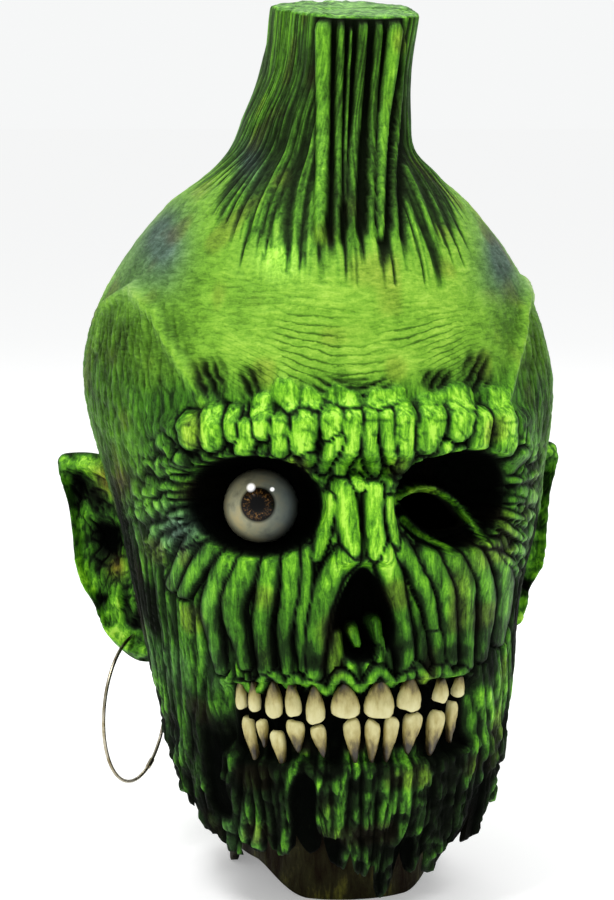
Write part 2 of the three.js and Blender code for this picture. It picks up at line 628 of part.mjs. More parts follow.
// An eye is a dome, flat behind where it sits in the socket.
function eyeSolid(extra) {
  const place = facePlace(EYE_PLACE);
  const seat = seatOnFace(place.x, place.z);
  const radius = EYE_DIAMETER / 2;
  const back = SOCKET_DEPTH + EYE_BITE - EYE_SINK - radius + extra;
  const grown = radius + 1.3 * extra;
  const edge = Math.acos(-back / grown);
  const profile = [new THREE.Vector2(0, -back)];
  for (let k = 0; k <= EYE_SIDES / 2; k++) {
    const turn = edge * (1 - (2 * k) / EYE_SIDES);
    profile.push(new THREE.Vector2(k === EYE_SIDES / 2 ? 0 : grown * Math.sin(turn), grown * Math.cos(turn)));
  }
  const geometry = new THREE.LatheGeometry(profile, EYE_SIDES);
  const centre = seat.point.clone().addScaledVector(seat.out, -EYE_SINK - radius);
  const basis = new THREE.Matrix4().makeBasis(seat.across, seat.out, seat.up.clone().negate()).setPosition(centre);
  return solidFrom(geometry.applyMatrix4(basis));
}

// A tooth from its biting edge to its pointed root.
function toothSolid(tooth, rootUp, extra) {
  const x = facePlace(MOUTH_PLACE).x + tooth.x * MOUTH_HALF_WIDTH;
  const low = tooth.low * SKULL_HEIGHT;
  const high = tooth.high * SKULL_HEIGHT;
  const seat = seatOnFace(x, (low + high) / 2);
  seat.point.addScaledVector(seat.out, TOOTH_THICKNESS / 2 - MOUTH_DEPTH - TOOTH_BITE);
  const lean = rad(rootUp ? -tooth.lean : tooth.lean);
  const { across, up } = seat;
  seat.across = across.clone().multiplyScalar(Math.cos(lean)).addScaledVector(up, Math.sin(lean));
  seat.up = seat.out.clone().cross(seat.across);
  const reach = (high - low) / 2;
  const flip = rootUp ? 1 : -1;
  const ring = (row) => {
    const halfWidth = (row.half * tooth.width * MOUTH_HALF_WIDTH) / 2 + extra;
    const halfDepth = (TOOTH_THICKNESS / 2) * (0.5 + 0.5 * row.half) + extra;
    const lowest = row.along === 0 ? extra : 0;
    return Array.from({ length: TOOTH_SIDES }, (_, k) => {
      const turn = (2 * Math.PI * (k + 0.5)) / TOOTH_SIDES;
      const z = flip * (reach * (2 * row.along - 1) - lowest);
      return new THREE.Vector3(halfWidth * Math.sin(turn), -halfDepth * Math.cos(turn), z);
    });
  };
  const rows = TOOTH_PROFILE.map(ring);
  if (rootUp) rows.reverse();
  const end = (along) => new THREE.Vector3(0, 0, flip * (2 * along - 1) * (reach + extra));
  const ends = rootUp ? [end(1), end(0)] : [end(0), end(1)];
  const [top, bottom] = placeRings(seat, [ends])[0];
  return solidFromRings(placeRings(seat, rows), top, bottom);
}

// The frame of an ear on the side of +X or -X: out is its face, and across points away from the head.
function earFrame(side) {
  const flare = rad(EAR_FLARE_DEG);
  const place = side > 0 ? LEFT_EAR_PLACE : RIGHT_EAR_PLACE;
  const point = new THREE.Vector3(place.x * HALF_WIDTH, place.back * SKULL_BACK, place.up * SKULL_HEIGHT);
  const across = new THREE.Vector3(side * Math.cos(flare), Math.sin(flare), 0);
  const out = new THREE.Vector3(side * Math.sin(flare), -Math.cos(flare), 0);
  return { point, across, out, up: new THREE.Vector3(0, 0, 1) };
}

function earPoint(frame, out, up, depth) {
  return frame.point
    .clone()
    .addScaledVector(frame.across, out * EAR_WIDTH)
    .addScaledVector(frame.up, up * EAR_HEIGHT)
    .addScaledVector(frame.out, depth * EAR_THICKNESS);
}

function earSolid(side) {
  const frame = earFrame(side);
  const outline = side > 0 ? EAR_OUTLINE : [...EAR_OUTLINE].reverse();
  const rings = EAR_SECTION.slice(1, -1).map((row) =>
    outline.map((p) => earPoint(frame, row.reach * p.out, row.reach * p.up, row.out)),
  );
  const [front, back] = [EAR_SECTION[0], EAR_SECTION[EAR_SECTION.length - 1]];
  return solidFromRings(rings, earPoint(frame, 0, 0, front.out), earPoint(frame, 0, 0, back.out));
}

// The hoop hangs from the lobe of the wearer's right ear, in the upright plane that its hole points along.
const hoopFrame = earFrame(-1);
const piercing = earPoint(hoopFrame, PIERCING_PLACE.out, PIERCING_PLACE.up, -0.3);

function piercingSolid() {
  const radius = HOOP_WIRE / 2 + PIERCING_PLAY;
  const hole = new THREE.CylinderGeometry(radius, radius, 4 * EAR_THICKNESS, PIERCING_SIDES);
  const basis = new THREE.Matrix4().makeBasis(hoopFrame.across, hoopFrame.out, hoopFrame.up).setPosition(piercing);
  return solidFrom(hole.applyMatrix4(basis));
}

const mask = new THREE.Group();

function addPiece(name, geometry, material) {
  const mesh = new THREE.Mesh(geometry, material);
  mesh.name = name;
  mask.add(mesh);
  return mesh;
}

const latex = new THREE.MeshStandardMaterial({ color: "#4f8f22", roughness: 0.55, metalness: 0 });
const eyeGloss = new THREE.MeshStandardMaterial({ color: "#b9b79a", roughness: 0.1, metalness: 0 });
const dentine = new THREE.MeshStandardMaterial({ color: "#cfc596", roughness: 0.35, metalness: 0 });
const wire = new THREE.MeshStandardMaterial({ color: "#b0a58c", roughness: 0.25, metalness: 1 });

const teeth = [
  ...UPPER_TEETH.map((tooth, i) => ({ name: `tooth_upper_${i + 1}`, tooth, rootUp: true })),
  ...LOWER_TEETH.map((tooth, i) => ({ name: `tooth_lower_${i + 1}`, tooth, rootUp: false })),
];

let shell = outerSolid().add(earSolid(1)).add(earSolid(-1)).add(lidSolid());
shell = shell.subtract(cavitySolid()).subtract(slitSolid()).subtract(piercingSolid());
shell = shell.subtract(eyeSolid(CLEARANCE));
for (const { tooth, rootUp } of teeth) shell = shell.subtract(toothSolid(tooth, rootUp, TOOTH_SLACK * CLEARANCE));
addPiece("latex_shell", geometryFrom(shell), latex);
addPiece("eyeball", geometryFrom(eyeSolid(0)), eyeGloss);
for (const { name, tooth, rootUp } of teeth) addPiece(name, geometryFrom(toothSolid(tooth, rootUp, 0)), dentine);

const hoop = new THREE.TorusGeometry(HOOP_DIAMETER / 2, HOOP_WIRE / 2, WIRE_SIDES, HOOP_STEPS).rotateX(Math.PI / 2);
const hoopMesh = addPiece("ear_hoop", hoop, wire);
hoopMesh.position.copy(piercing).addScaledVector(hoopFrame.up, -HOOP_DIAMETER / 2);
hoopMesh.rotation.z = rad(90 - EAR_FLARE_DEG);

// The whole is set down with its origin under the middle of its box.
mask.updateMatrixWorld(true);
const box = new THREE.Box3().setFromObject(mask);
const middle = box.getCenter(new THREE.Vector3());
mask.position.set(-middle.x, -middle.y, -box.min.z);

export default mask;
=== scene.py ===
import itertools
import math

import bpy
import numpy as np
from mathutils import Matrix, Vector
from mathutils.kdtree import KDTree


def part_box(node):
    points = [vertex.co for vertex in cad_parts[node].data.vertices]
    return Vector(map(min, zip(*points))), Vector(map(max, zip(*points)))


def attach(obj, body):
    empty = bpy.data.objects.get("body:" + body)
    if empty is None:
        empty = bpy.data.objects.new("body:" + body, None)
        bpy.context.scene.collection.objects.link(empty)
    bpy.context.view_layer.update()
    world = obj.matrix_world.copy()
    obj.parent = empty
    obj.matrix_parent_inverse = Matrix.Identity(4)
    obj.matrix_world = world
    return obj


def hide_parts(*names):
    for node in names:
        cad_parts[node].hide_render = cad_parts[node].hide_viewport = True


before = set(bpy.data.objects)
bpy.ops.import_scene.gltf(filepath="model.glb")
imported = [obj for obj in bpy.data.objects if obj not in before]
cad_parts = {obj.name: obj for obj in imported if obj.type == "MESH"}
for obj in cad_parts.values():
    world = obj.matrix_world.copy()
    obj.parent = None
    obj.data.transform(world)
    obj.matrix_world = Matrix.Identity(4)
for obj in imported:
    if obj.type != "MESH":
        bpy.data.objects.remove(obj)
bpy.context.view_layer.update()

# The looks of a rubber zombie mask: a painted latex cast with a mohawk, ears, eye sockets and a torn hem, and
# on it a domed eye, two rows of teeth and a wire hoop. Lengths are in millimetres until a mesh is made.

MM = 0.001

# Driving sizes of the cast
SKULL_WIDTH = 206
SKULL_HEIGHT = 320
FACE_DEPTH = 110
SKULL_BACK = 121
WALL = 3
MOHAWK_HEIGHT = 58.5
MOHAWK_WIDTH = 59.5
MOHAWK_FRONT = 54
MOHAWK_BACK = 37
MOHAWK_SHIFT = 14.8
MOHAWK_SKEW = 0.05
MOHAWK_FLARE = 0.2
MOHAWK_RISE = 10
MOHAWK_EDGE = 3
NECK_WIDTH = 92
NECK_SHIFT = 8
NECK_FRONT = 62
NECK_BACK = 50
NECK_ARCH = 12
NECK_POWER = 2.2
SHRED_THICKNESS = 4
SHRED_NOTCH = 11

# Driving sizes of the features
SOCKET_DEPTH = 20
SOCKET_HALF_WIDTH = 27
SOCKET_HALF_HEIGHT = 21
NOSE_DEPTH = 13
NOSE_HALF_WIDTH = 15.5
NOSE_HALF_HEIGHT = 20
BRIDGE_HEIGHT = 7
MOUTH_DEPTH = 6
MOUTH_HALF_WIDTH = 57
MOUTH_HALF_HEIGHT = 19
BROW_HEIGHT = 6
BROW_HALF_HEIGHT = 14
BROW_DROP = 12.7
TEMPLE_RIDGE_HEIGHT = 2.6
TEMPLE_RIDGE_HALF_WIDTH = 5
LID_HALF_LENGTH = 18.5
LID_HALF_HEIGHT = 8
LID_HEIGHT = 8
LID_TILT_DEG = -19
LID_CREST_OFF = 1.6
LID_CREST_WIDTH = 2.2
SLIT_INSET = 0.6
SLIT_FRONT = 5
TOOTH_THICKNESS = 6
TOOTH_BITE = 2
EAR_HEIGHT = 92
EAR_WIDTH = 61
EAR_THICKNESS = 7
EAR_FLARE_DEG = 31
EAR_BOWL_DEPTH = 7.5
CORNEA_RISE = 0.9
CORNEA_EDGE = 29  # degrees from the gaze
IRIS_RADIUS = 6.9
PUPIL_RADIUS = 3.2
GLINTS = [(-3.0, 6.9, 2.1), (5.6, 6.3, 1.1)]  # x and y from the iris's middle, and radius
GAZE = (0.075, 0.06, 0.99)  # to the eye's own right, up, and towards the camera
HOOP_DIAMETER = 66
HOOP_WIRE = 1.6
HOOP_SLEEVE = 2.4
SLEEVE_START_DEG = -68
SLEEVE_SWEEP_DEG = 9

# Widths of what the skin's rules draw, and the height that the mohawk's locks reach down to
STRAND_WIDTH = 3.4
HAIR_WIDTH = 1.5
LOCKS_END = 309
LOCKS_FRONT_DROP = 24
CORD_WIDTH = 7.5
SLIM_CORD_WIDTH = 3
NAPE_CORD_WIDTH = 15
TEMPLE_CORD_WIDTH = 3.2
LOBE_WIDTH = 9
LOBE_HEIGHT = 36
CRACK_WIDTH = 5
CRACK_HEIGHT = 26

# The mohawk's top from its brim inwards: how far in and how high, and the neck's brown wash
CROWN_RINGS = [(0.6, 0.9), (MOHAWK_EDGE, 1.5), (7, 1.4), (12, 1.8), (18, 2)]
NECK_STAIN = 0.6

# Fineness of the meshes
FACE_GRAIN = 1.1  # between the skin's points over the face
BACK_GRAIN = 5
ROW_STEPS = (2.6, 1.9, 1.6, 1)  # against that, for the mohawk, crown, forehead and face
CAVITY_COLUMNS = 72
TOOTH_SIDES = 20
EAR_COLUMNS = 96
EYE_SIDES = 64
HOOP_SIDES = 128
WIRE_SIDES = 14
SLEEVE_POINTS = 8

HALF_WIDTH = SKULL_WIDTH / 2
FAR = 999.0  # farther off than anything that is measured
# What the latex's paint is told at each point of its mesh
PAINT = ("tone", "bald", "cool", "stain", "lines", "sag")

# The studio: lengths in metres here, angles in degrees from the front and up, and powers in watts
FLOOR_RADIUS = 30
FLOOR_GLOW = 0.28
SKY_LIGHT = 0.7
SKY_SEEN = 1.02
LIGHTS_MIDDLE = (0, 0, 0.2)
# name, azimuth, elevation, distance, size, power
LIGHTS = [("key", -50, 58, 1.3, 0.4, 9), ("fill", 48, 54, 1.5, 0.4, 5), ("back", 165, 45, 1.6, 0.8, 5)]

# The photo's camera, from the size of the head: where it looks, and its focal length in pixels of the photo.
PHOTO_WIDTH = 614
PHOTO_HEIGHT = 900
FOCAL_PIXELS = 2480
CAMERA_AZIMUTH = math.radians(-10)
CAMERA_ELEVATION = math.radians(8)
CAMERA_DISTANCE = 1100
LOOK_AT = np.array([-3.5, 0, 187])
TO_CAMERA = np.array([
    math.sin(CAMERA_AZIMUTH) * math.cos(CAMERA_ELEVATION),
    -math.cos(CAMERA_AZIMUTH) * math.cos(CAMERA_ELEVATION),
    math.sin(CAMERA_ELEVATION),
])
CAMERA_RIGHT = np.array([math.cos(CAMERA_AZIMUTH), math.sin(CAMERA_AZIMUTH), 0])
CAMERA_UP = np.cross(TO_CAMERA, CAMERA_RIGHT)

# Sections of the head from the floor up. up is a share of SKULL_HEIGHT, half and shift of half SKULL_WIDTH,
# widest and front of FACE_DEPTH and back of SKULL_BACK; power squares the outline.
# up, half, widest, front, back, power, shift
HEAD_SECTIONS = [
    (0, 0.5, 0.33, 0.71, 0.42, 2.3, 0.04),
    (0.075, 0.6, 0.33, 0.82, 0.45, 2.3, 0.045),
    (0.184, 0.7, 0.3, 0.95, 0.5, 2.2, 0.03),
    (0.294, 0.75, 0.28, 1.02, 0.5, 2.05, 0.02),
    (0.403, 0.8, 0.24, 1.02, 0.62, 2.05, 0.005),
    (0.497, 0.865, 0.15, 1.01, 0.85, 2.2, 0.02),
    (0.591, 0.94, 0.05, 0.99, 0.95, 2.2, 0.015),
    (0.684, 0.985, -0.02, 1, 1, 2.15, 0.01),
    (0.769, 0.935, -0.03, 0.97, 0.98, 2.1, 0.005),
    (0.85, 0.81, -0.03, 0.91, 0.91, 2.1, 0.013),
    (0.919, 0.64, -0.03, 0.8, 0.8, 2.1, 0.018),
    (0.966, 0.46, -0.02, 0.68, 0.66, 2.3, 0.03),
]
# Sections of the mohawk. up is a share of MOHAWK_HEIGHT, half of half MOHAWK_WIDTH, front and back of
# MOHAWK_FRONT and MOHAWK_BACK, and shift, skew, flare and rise of MOHAWK_SHIFT, _SKEW, _FLARE and _RISE.
# up, half, front, back, power, shift, skew, flare, rise
MOHAWK_SECTIONS = [
    (0, 1.22, 1.22, 1.75, 2.8, 0.25, 0, 0.3, 0),
    (0.24, 1.09, 1.09, 1.6, 3.8, 0.46, 0.5, 0.6, 0),
    (0.58, 0.975, 1.02, 1.36, 5, 0.8, 1, 1, 0.4),
    (1, 0.975, 1, 1, 6, 1, 1, 1, 1),
]
# The torn hem from the front to the back: degrees from the front, and the height of each shred's end as a
# share of SKULL_HEIGHT, on the wearer's left and right.
SHREDS_LEFT = [
    (0, 0.045), (11, 0.02), (22, 0.055), (33, 0.05), (44, 0.085), (55, 0.07), (67, 0.12), (82, 0.15),
    (97, 0.125), (112, 0.09), (127, 0.115), (142, 0.085), (157, 0.11), (172, 0.09), (187, 0.1),
]
SHREDS_RIGHT = [
    (0, 0.045), (11, 0.07), (22, 0.09), (33, 0.08), (44, 0.09), (56, 0.08), (69, 0.1), (82, 0.17),
    (97, 0.125), (112, 0.1), (127, 0.085), (142, 0.12), (157, 0.09), (172, 0.1), (187, 0.09),
]
# Height of the underside behind the shreds: degrees from the front and a share of SKULL_HEIGHT.
UNDERSIDE = [(0, 0.14), (40, 0.15), (80, 0.2), (115, 0.17), (180, 0.15)]
# The ridge that bounds each temple: degrees from the front and a share of SKULL_HEIGHT.
TEMPLE_RIDGE = [(82, 0.79), (66, 0.82), (50, 0.79), (39, 0.73), (33, 0.68)]

# Places on the face: x as a share of half SKULL_WIDTH and up of SKULL_HEIGHT.
RIGHT_SOCKET_PLACE = (-0.415, 0.56)
LEFT_SOCKET_PLACE = (0.395, 0.562)
LID_PLACE = (0.37, 0.544)
NOSE_PLACE = (0, 0.422)
BRIDGE_PLACE = (0, 0.545)
MOUTH_PLACE = (-0.02, 0.278)
BROW_PLACE = (0, 0.653)
# The middle of an ear: x of half SKULL_WIDTH, back of SKULL_BACK and up of SKULL_HEIGHT.
RIGHT_EAR_PLACE = (-0.89, 0.07, 0.436)
LEFT_EAR_PLACE = (0.935, 0.07, 0.436)
# The hole in the lobe from there: out of EAR_WIDTH, up of EAR_HEIGHT, and depth of EAR_THICKNESS.
PIERCING_PLACE = (-0.195, -0.37, -0.3)

# The main folds of the face, each drawn down the middle of its crest in pixels of the photo. half is half its
# width at the top and tip at the bottom, in pixels, and high is its height in millimetres.
# half, tip, high, crest
BROW_LUMPS = [
    (12, 11, 2.4, [(195, 420), (199, 438)]),
    (13, 12, 2.8, [(217, 414), (219, 438)]),
    (9, 8, 2.2, [(236, 412), (238, 432)]),
    (12, 10, 2.6, [(252, 426), (248, 446)]),
    (13, 11, 3.2, [(263, 404), (264, 428)]),
    (11, 9, 2.8, [(283, 420), (282, 448)]),
    (15, 12, 2.4, [(284, 392), (292, 402)]),
    (16, 14, 3.4, [(306, 418), (303, 440)]),
    (9, 8, 3.0, [(310, 454), (308, 460)]),
    (13, 11, 2.6, [(331, 412), (331, 430)]),
    (10, 8, 3.0, [(336, 436), (328, 450), (323, 466)]),
    (11, 8, 3.0, [(351, 414), (352, 444), (339, 468)]),
    (10, 8, 2.6, [(367, 412), (366, 444), (373, 466)]),
    (9, 7, 2.6, [(383, 412), (383, 436), (388, 459)]),
    (12, 10, 3.0, [(400, 410), (399, 440), (401, 465)]),
    (16, 13, 3.2, [(428, 408), (419, 440)]),
    (19, 14, 3.4, [(454, 400), (450, 426)]),
    (9, 8, 2.6, [(438, 444), (435, 454)]),
    (8, 7, 2.4, [(452, 448), (450, 456)]),
    (11, 9, 2.6, [(473, 414), (469, 444)]),
    (8, 7, 2.2, [(470, 456), (466, 460)]),
    (13, 10, 3.0, [(492, 396), (496, 440), (484, 459)]),
    (11, 8, 2.2, [(512, 456), (505, 474)]),
    (12, 11, 1.8, [(308, 398), (314, 402)]),
    (13, 10, 1.6, [(336, 396), (352, 400)]),
    (12, 10, 1.6, [(374, 400), (396, 396)]),
    (10, 8, 1.8, [(188, 458), (190, 464)]),
]
CHEEK_FOLDS = [
    (10, 8, 2.0, [(203, 524), (187, 551), (174, 584)]),
    (12, 8, 2.4, [(215, 545), (200, 566), (186, 592)]),
    (13, 7, 2.8, [(231, 556), (219, 580), (209, 606), (216, 636), (222, 668)]),
    (17, 7, 3.2, [(249, 560), (240, 584), (232, 604), (240, 636), (247, 664)]),
    (13, 9, 3.0, [(270, 560), (267, 595), (261, 628), (268, 672)]),
    (12, 7, 2.8, [(291, 557), (291, 592), (284, 628), (288, 670)]),
    (8, 6, 2.0, [(307, 550), (306, 590), (300, 622), (304, 668)]),
    (14, 11, 3.0, [(345, 556), (327, 582), (317, 622), (314, 672)]),
    (12, 10, 3.0, [(382, 553), (393, 580), (401, 622), (406, 672)]),
    (11, 7, 2.6, [(400, 546), (416, 574), (427, 600), (431, 626)]),
    (8, 7, 2.0, [(434, 634), (440, 664)]),
    (13, 7, 2.8, [(427, 556), (441, 580), (446, 604), (449, 660)]),
    (13, 7, 2.8, [(451, 557), (463, 582), (465, 608), (464, 664)]),
    (11, 7, 2.6, [(471, 553), (484, 578), (486, 602), (479, 656)]),
    (10, 7, 2.2, [(491, 546), (504, 570), (503, 600), (496, 640)]),
    (7, 6, 2.0, [(476, 536), (492, 548), (508, 562)]),
]
NOSE_STRIPS = [
    (12, 10, 2.8, [(340, 486), (347, 515), (349, 552)]),
    (10, 10, 3.0, [(370, 486), (370, 517), (374, 551)]),
    (8, 7, 2.6, [(354, 478), (357, 484)]),
    (9, 8, 1.4, [(329, 499), (324, 530), (316, 556)]),
    (7, 7, 1.4, [(387, 500), (391, 530), (398, 548)]),
]
NOSE_LUMPS = [
    (5, 6, 2.4, [(338, 634), (339, 656)]),
    (8, 5, 2.8, [(352, 630), (357, 644)]),
    (9, 5, 2.8, [(374, 622), (378, 640)]),
    (4, 5, 2.2, [(381, 640), (380, 660)]),
]
CROWS_FEET = [
    (6, 4, 1.6, [(198, 470), (178, 462)]),
    (6, 4, 1.6, [(197, 483), (174, 478)]),
    (6, 4, 1.8, [(198, 497), (170, 496)]),
    (6, 4, 1.8, [(200, 510), (172, 515)]),
    (6, 4, 1.8, [(203, 521), (176, 534)]),
    (6, 4, 1.6, [(206, 534), (182, 552)]),
    (6, 4, 1.6, [(502, 483), (518, 479)]),
    (6, 4, 1.6, [(504, 498), (520, 500)]),
    (6, 4, 1.6, [(503, 512), (520, 518)]),
    (6, 4, 1.6, [(502, 526), (518, 538)]),
]
LIP_EDGE = [
    (6, 6, 2.6, [
        (238, 683), (246, 695), (255, 694), (264, 676), (276, 671), (286, 692), (295, 675), (304, 689),
        (313, 678), (328, 703), (340, 665), (362, 699), (375, 668), (384, 673), (395, 691), (411, 657),
        (424, 679), (431, 684), (440, 659), (449, 679), (462, 668),
    ]),
]

BRIGHT_LOCKS = [
    (8, 7, 2.4, [(324, 28), (323, 115), (322, 190), (318, 240)]),
    (8, 4, 2.4, [(395, 30), (386, 95), (381, 135), (380, 235)]),
]
DIM_LOCKS = [
    (4.5, 4, 2.0, [(341, 28), (338, 115), (338, 190), (335, 262)]),
    (2, 2, 1.4, [(351, 28), (346, 115), (345, 200)]),
    (5.5, 5, 1.8, [(363, 28), (357, 115), (352, 170), (351, 270)]),
    (4.5, 4, 2.0, [(379, 28), (373, 100), (371, 155), (371, 255)]),
    (1, 4.5, 1.4, [(404, 40), (396, 130), (392, 180), (397, 255)]),
]
# The raised edges of the two lids
LID_EDGES = [
    (6, 4, 1, [(394, 501), (408, 490), (428, 488), (449, 498), (467, 516), (481, 537)]),
    (5, 3, 1, [(403, 519), (416, 532), (432, 541), (449, 548)]),
]
ALL_FOLDS = BROW_LUMPS + CHEEK_FOLDS + NOSE_STRIPS + CROWS_FEET + LIP_EDGE

# Middles in pixels of the photo
SOCKET_MIDDLES = [(255, 500), (441, 502)]
NOSE_MIDDLE = 359
FOREHEAD_MIDDLE = 350
FOREHEAD_TOP = 320
ARCS_MIDDLE = 352
LINE_SPACING = 9.5  # between the forehead's lines
# Soft patches in pixels of the photo: their middle's x and y, and half their width and height.
CREASED_MIDDLE = (354, 389, 46, 13)
CREASED_PATCHES = [(209, 378, 17, 20), (251, 384, 12, 17), (438, 380, 17, 12), (477, 374, 14, 22)]
COOL_PATCHES = [(165, 240, 24, 42), (250, 160, 14, 20), (500, 250, 16, 40), (180, 530, 22, 20)]
BRIGHT_PATCH = (280, 256, 26, 26)
GREEN_PATCH = (280, 256, 30, 26)
STAINED_PATCH = (121, 482, 9, 18)
# Where a look fades in, in pixels of the photo: first where there is none of it, and then all of it.
# Columns
FRONT_LOCKS_START = (312, 317)
FRONT_LOCKS_END = (408, 402)
SCALP_RIGHT = (290, 130)
SCALP_LEFT = (430, 530)
COOL_RIGHT = (190, 130)
COOL_LEFT = (450, 520)
FACE_RIGHT = (225, 165)
FACE_LEFT = (495, 535)
LIPS_RIGHT = (224, 233)
LIPS_LEFT = (478, 468)
# Rows
FRONT_LOCKS_FOOT = (262, 236)
FOREHEAD_LINES_TOP = (275, 345)
COOL_ENDS = (310, 280)
BROW_BEGINS = (388, 402)
FOLDS_BEGIN = (396, 412)
BROW_SHADE_STARTS = (436, 464)
BROW_SHADE_ENDS = (478, 468)
BROW_ENDS = (440, 470)
LIT_BROW = (475, 445)
NOSE_ROOT = (470, 455)
BRIDGE_FOOT = (590, 555)
CHEEK_SHADE = (585, 660)
CHEEK_ENDS = (674, 664)
LIPS_FOOT = (762, 744)
# Away from a middle
FOREHEAD_LINES_END = (150, 80)
NOSE_SIDES = (16, 34)
BRIDGE_SIDES = (44, 30)
DRAWN_REACH = (112, 84)
# The same for the cords of torn skin: heights as shares of SKULL_HEIGHT, and degrees from the front.
FRONT_CORDS_START = (0.47, 0.38)
SIDE_CORDS_START = (0.62, 0.5)
NAPE_CORDS_START = (0.56, 0.2)
JAW_START = (0.3, 0.22)
SIDE_TURN = (34, 48)
NAPE_TURN = (88, 122)

# Teeth from the wearer's right to the left: x and width as shares of MOUTH_HALF_WIDTH, low and high of
# SKULL_HEIGHT, and lean in degrees of the root towards the wearer's left.
# x, low, high, width, lean
UPPER_TEETH = [
    (-0.837, 0.291, 0.332, 0.079, 0), (-0.748, 0.29, 0.33, 0.093, -2), (-0.612, 0.284, 0.333, 0.13, 1),
    (-0.478, 0.287, 0.335, 0.12, -5), (-0.315, 0.279, 0.33, 0.142, -2), (-0.092, 0.287, 0.333, 0.212, -3),
    (0.175, 0.286, 0.336, 0.228, 3), (0.413, 0.292, 0.337, 0.192, 2), (0.68, 0.297, 0.331, 0.135, 7),
    (0.841, 0.299, 0.333, 0.11, 6),
]
LOWER_TEETH = [
    (-0.755, 0.213, 0.278, 0.093, 9), (-0.682, 0.241, 0.278, 0.079, 6), (-0.558, 0.212, 0.264, 0.107, 9),
    (-0.442, 0.237, 0.28, 0.135, 6), (-0.267, 0.231, 0.274, 0.113, 12), (-0.02, 0.22, 0.282, 0.126, 7),
    (0.125, 0.218, 0.279, 0.113, 1), (0.258, 0.22, 0.282, 0.112, -6), (0.428, 0.23, 0.285, 0.144, -7),
    (0.627, 0.224, 0.284, 0.142, -8), (0.781, 0.238, 0.293, 0.074, -1),
]
# A tooth's outline: along from the biting edge to the root, and half as a share of half its width.
UPPER_PROFILE = [
    (0, 0.5), (0.04, 0.78), (0.12, 0.95), (0.3, 1), (0.5, 0.9), (0.7, 0.68), (0.88, 0.4), (1, 0.1),
]
LOWER_PROFILE = [
    (0, 0.55), (0.05, 0.85), (0.14, 1), (0.3, 0.98), (0.5, 0.8), (0.72, 0.55), (0.9, 0.34), (1, 0.1),
]
# Forms on the front of an ear: middle out and up from the ear's own, half width and height, rise, and change
# of tone.
EAR_FORMS = [
    (14.5, 29, 4.3, 11, -4.5, -0.85), (7, 25, 4, 7, -2.5, -0.55), (2, 8, 8, 12, -8, -0.9),
    (12, 24, 2.5, 9, 1.2, 0.3), (5, 18, 9, 3.5, 2.2, 0.3), (13, 42, 11, 3.5, 1.5, 0.35),
    (-3, 36, 8, 8, 1.2, 0.25), (4, -19, 4, 3, -2.5, -0.6), (-3, -18, 4, 5, 2.4, 0.35),
    (-8, -20, 2, 7, -2, -0.4), (-12, -20, 3, 5, 1.6, 0.25), (12, -8, 4, 16, 1.2, 0.2),
    (-6, -33, 9, 4, 1.8, 0.3), (-12, -29, 6, 3, -1.6, -0.5), (-16, -40, 7, 4, 1.2, 0.15),
]
# The bowl at the back of an ear and the stains on its front: middle out and up, and half width and height.
EAR_BOWL = (2, 8, 9, 12)
EAR_STAINS = [(-1, 35, 7, 7), (-3, -4, 5, 5)]
# The ear's edge from its front to its back: the outline's share, and depth as a share of EAR_THICKNESS.
EAR_EDGE = [(0.99, -0.05), (1.0, -0.3), (0.985, -0.55), (0.95, -0.72)]
# The ear's outline round its middle, from straight out up over its tip: out of EAR_WIDTH and up of
# EAR_HEIGHT.
EAR_OUTLINE = [
    (0.275, 0), (0.29, 0.12), (0.32, 0.25), (0.385, 0.4), (0.4, 0.47), (0.32, 0.5), (0.06, 0.5),
    (-0.25, 0.42), (-0.41, 0.2), (-0.49, 0), (-0.55, -0.27), (-0.48, -0.45), (-0.27, -0.5), (-0.1, -0.45),
    (0.02, -0.37), (0.11, -0.25), (0.21, -0.13),
]


def clamp01(x):
    return np.clip(x, 0, 1)


def smooth_step(start, end, x):
    t = clamp01((np.asarray(x, float) - start) / (end - start))
    return t * t * (3 - 2 * t)


def mix(first, second, share):
    return first * (1 - share) + second * share


def blob(u, v, place, power=2):
    """A soft-edged patch, 1 in its middle, from the middle's two places and its two half widths."""
    middle_u, middle_v, wide, tall = place
    return np.exp(-((u - middle_u) / wide) ** power - ((v - middle_v) / tall) ** power)


def between_knots(p, q, r, s, u):
    """A place of the smooth curve through four knots, between the middle two, at a share u of the way."""
    bend = (2 * p - 5 * q + 4 * r - s) * u ** 2
    twist = (3 * q - p - 3 * r + s) * u ** 3
    return 0.5 * (2 * q + (r - p) * u + bend + twist)


def read_table(rows, x):
    """Straight lines between a table's rows, on its first column, read at x."""
    return np.interp(x, [row[0] for row in rows], [row[1] for row in rows])


def lattice(ix, iy, iz, seed):
    """A fixed number from 0 to 1 at each whole-numbered place."""
    mask = 0xFFFFFFFF
    n = (ix * 73856093) ^ (iy * 19349663) ^ (iz * 83492791) ^ (seed * 40503)
    n = ((n & mask) ^ ((n & mask) >> 13)) * 1274126177 & mask
    n = ((n ^ (n >> 16)) * 2246822519) & mask
    return ((n ^ (n >> 15)) & 0xFFFFFF) / 0xFFFFFF


def noise(points, size, seed):
    """Smooth noise from -1 to 1 with features of a size in millimetres, at an array of points."""
    p = np.asarray(points, float) / size
    whole = np.floor(p).astype(np.int64)
    part = p - whole
    part = part * part * part * (part * (part * 6 - 15) + 10)
    total = 0
    for corner in itertools.product((0, 1), repeat=3):
        weight = np.abs(1 - np.array(corner) - part)
        weight = weight[..., 0] * weight[..., 1] * weight[..., 2]
        total = total + weight * lattice(*np.moveaxis(whole + corner, -1, 0), seed)
    return 2 * total - 1


def rough(points, size, seed, layers=3):
    """Noise in layers, each half as large and half as strong as the one before."""
    return sum(noise(points, size / 2 ** k, seed + k) / 2 ** k for k in range(layers)) / 1.6


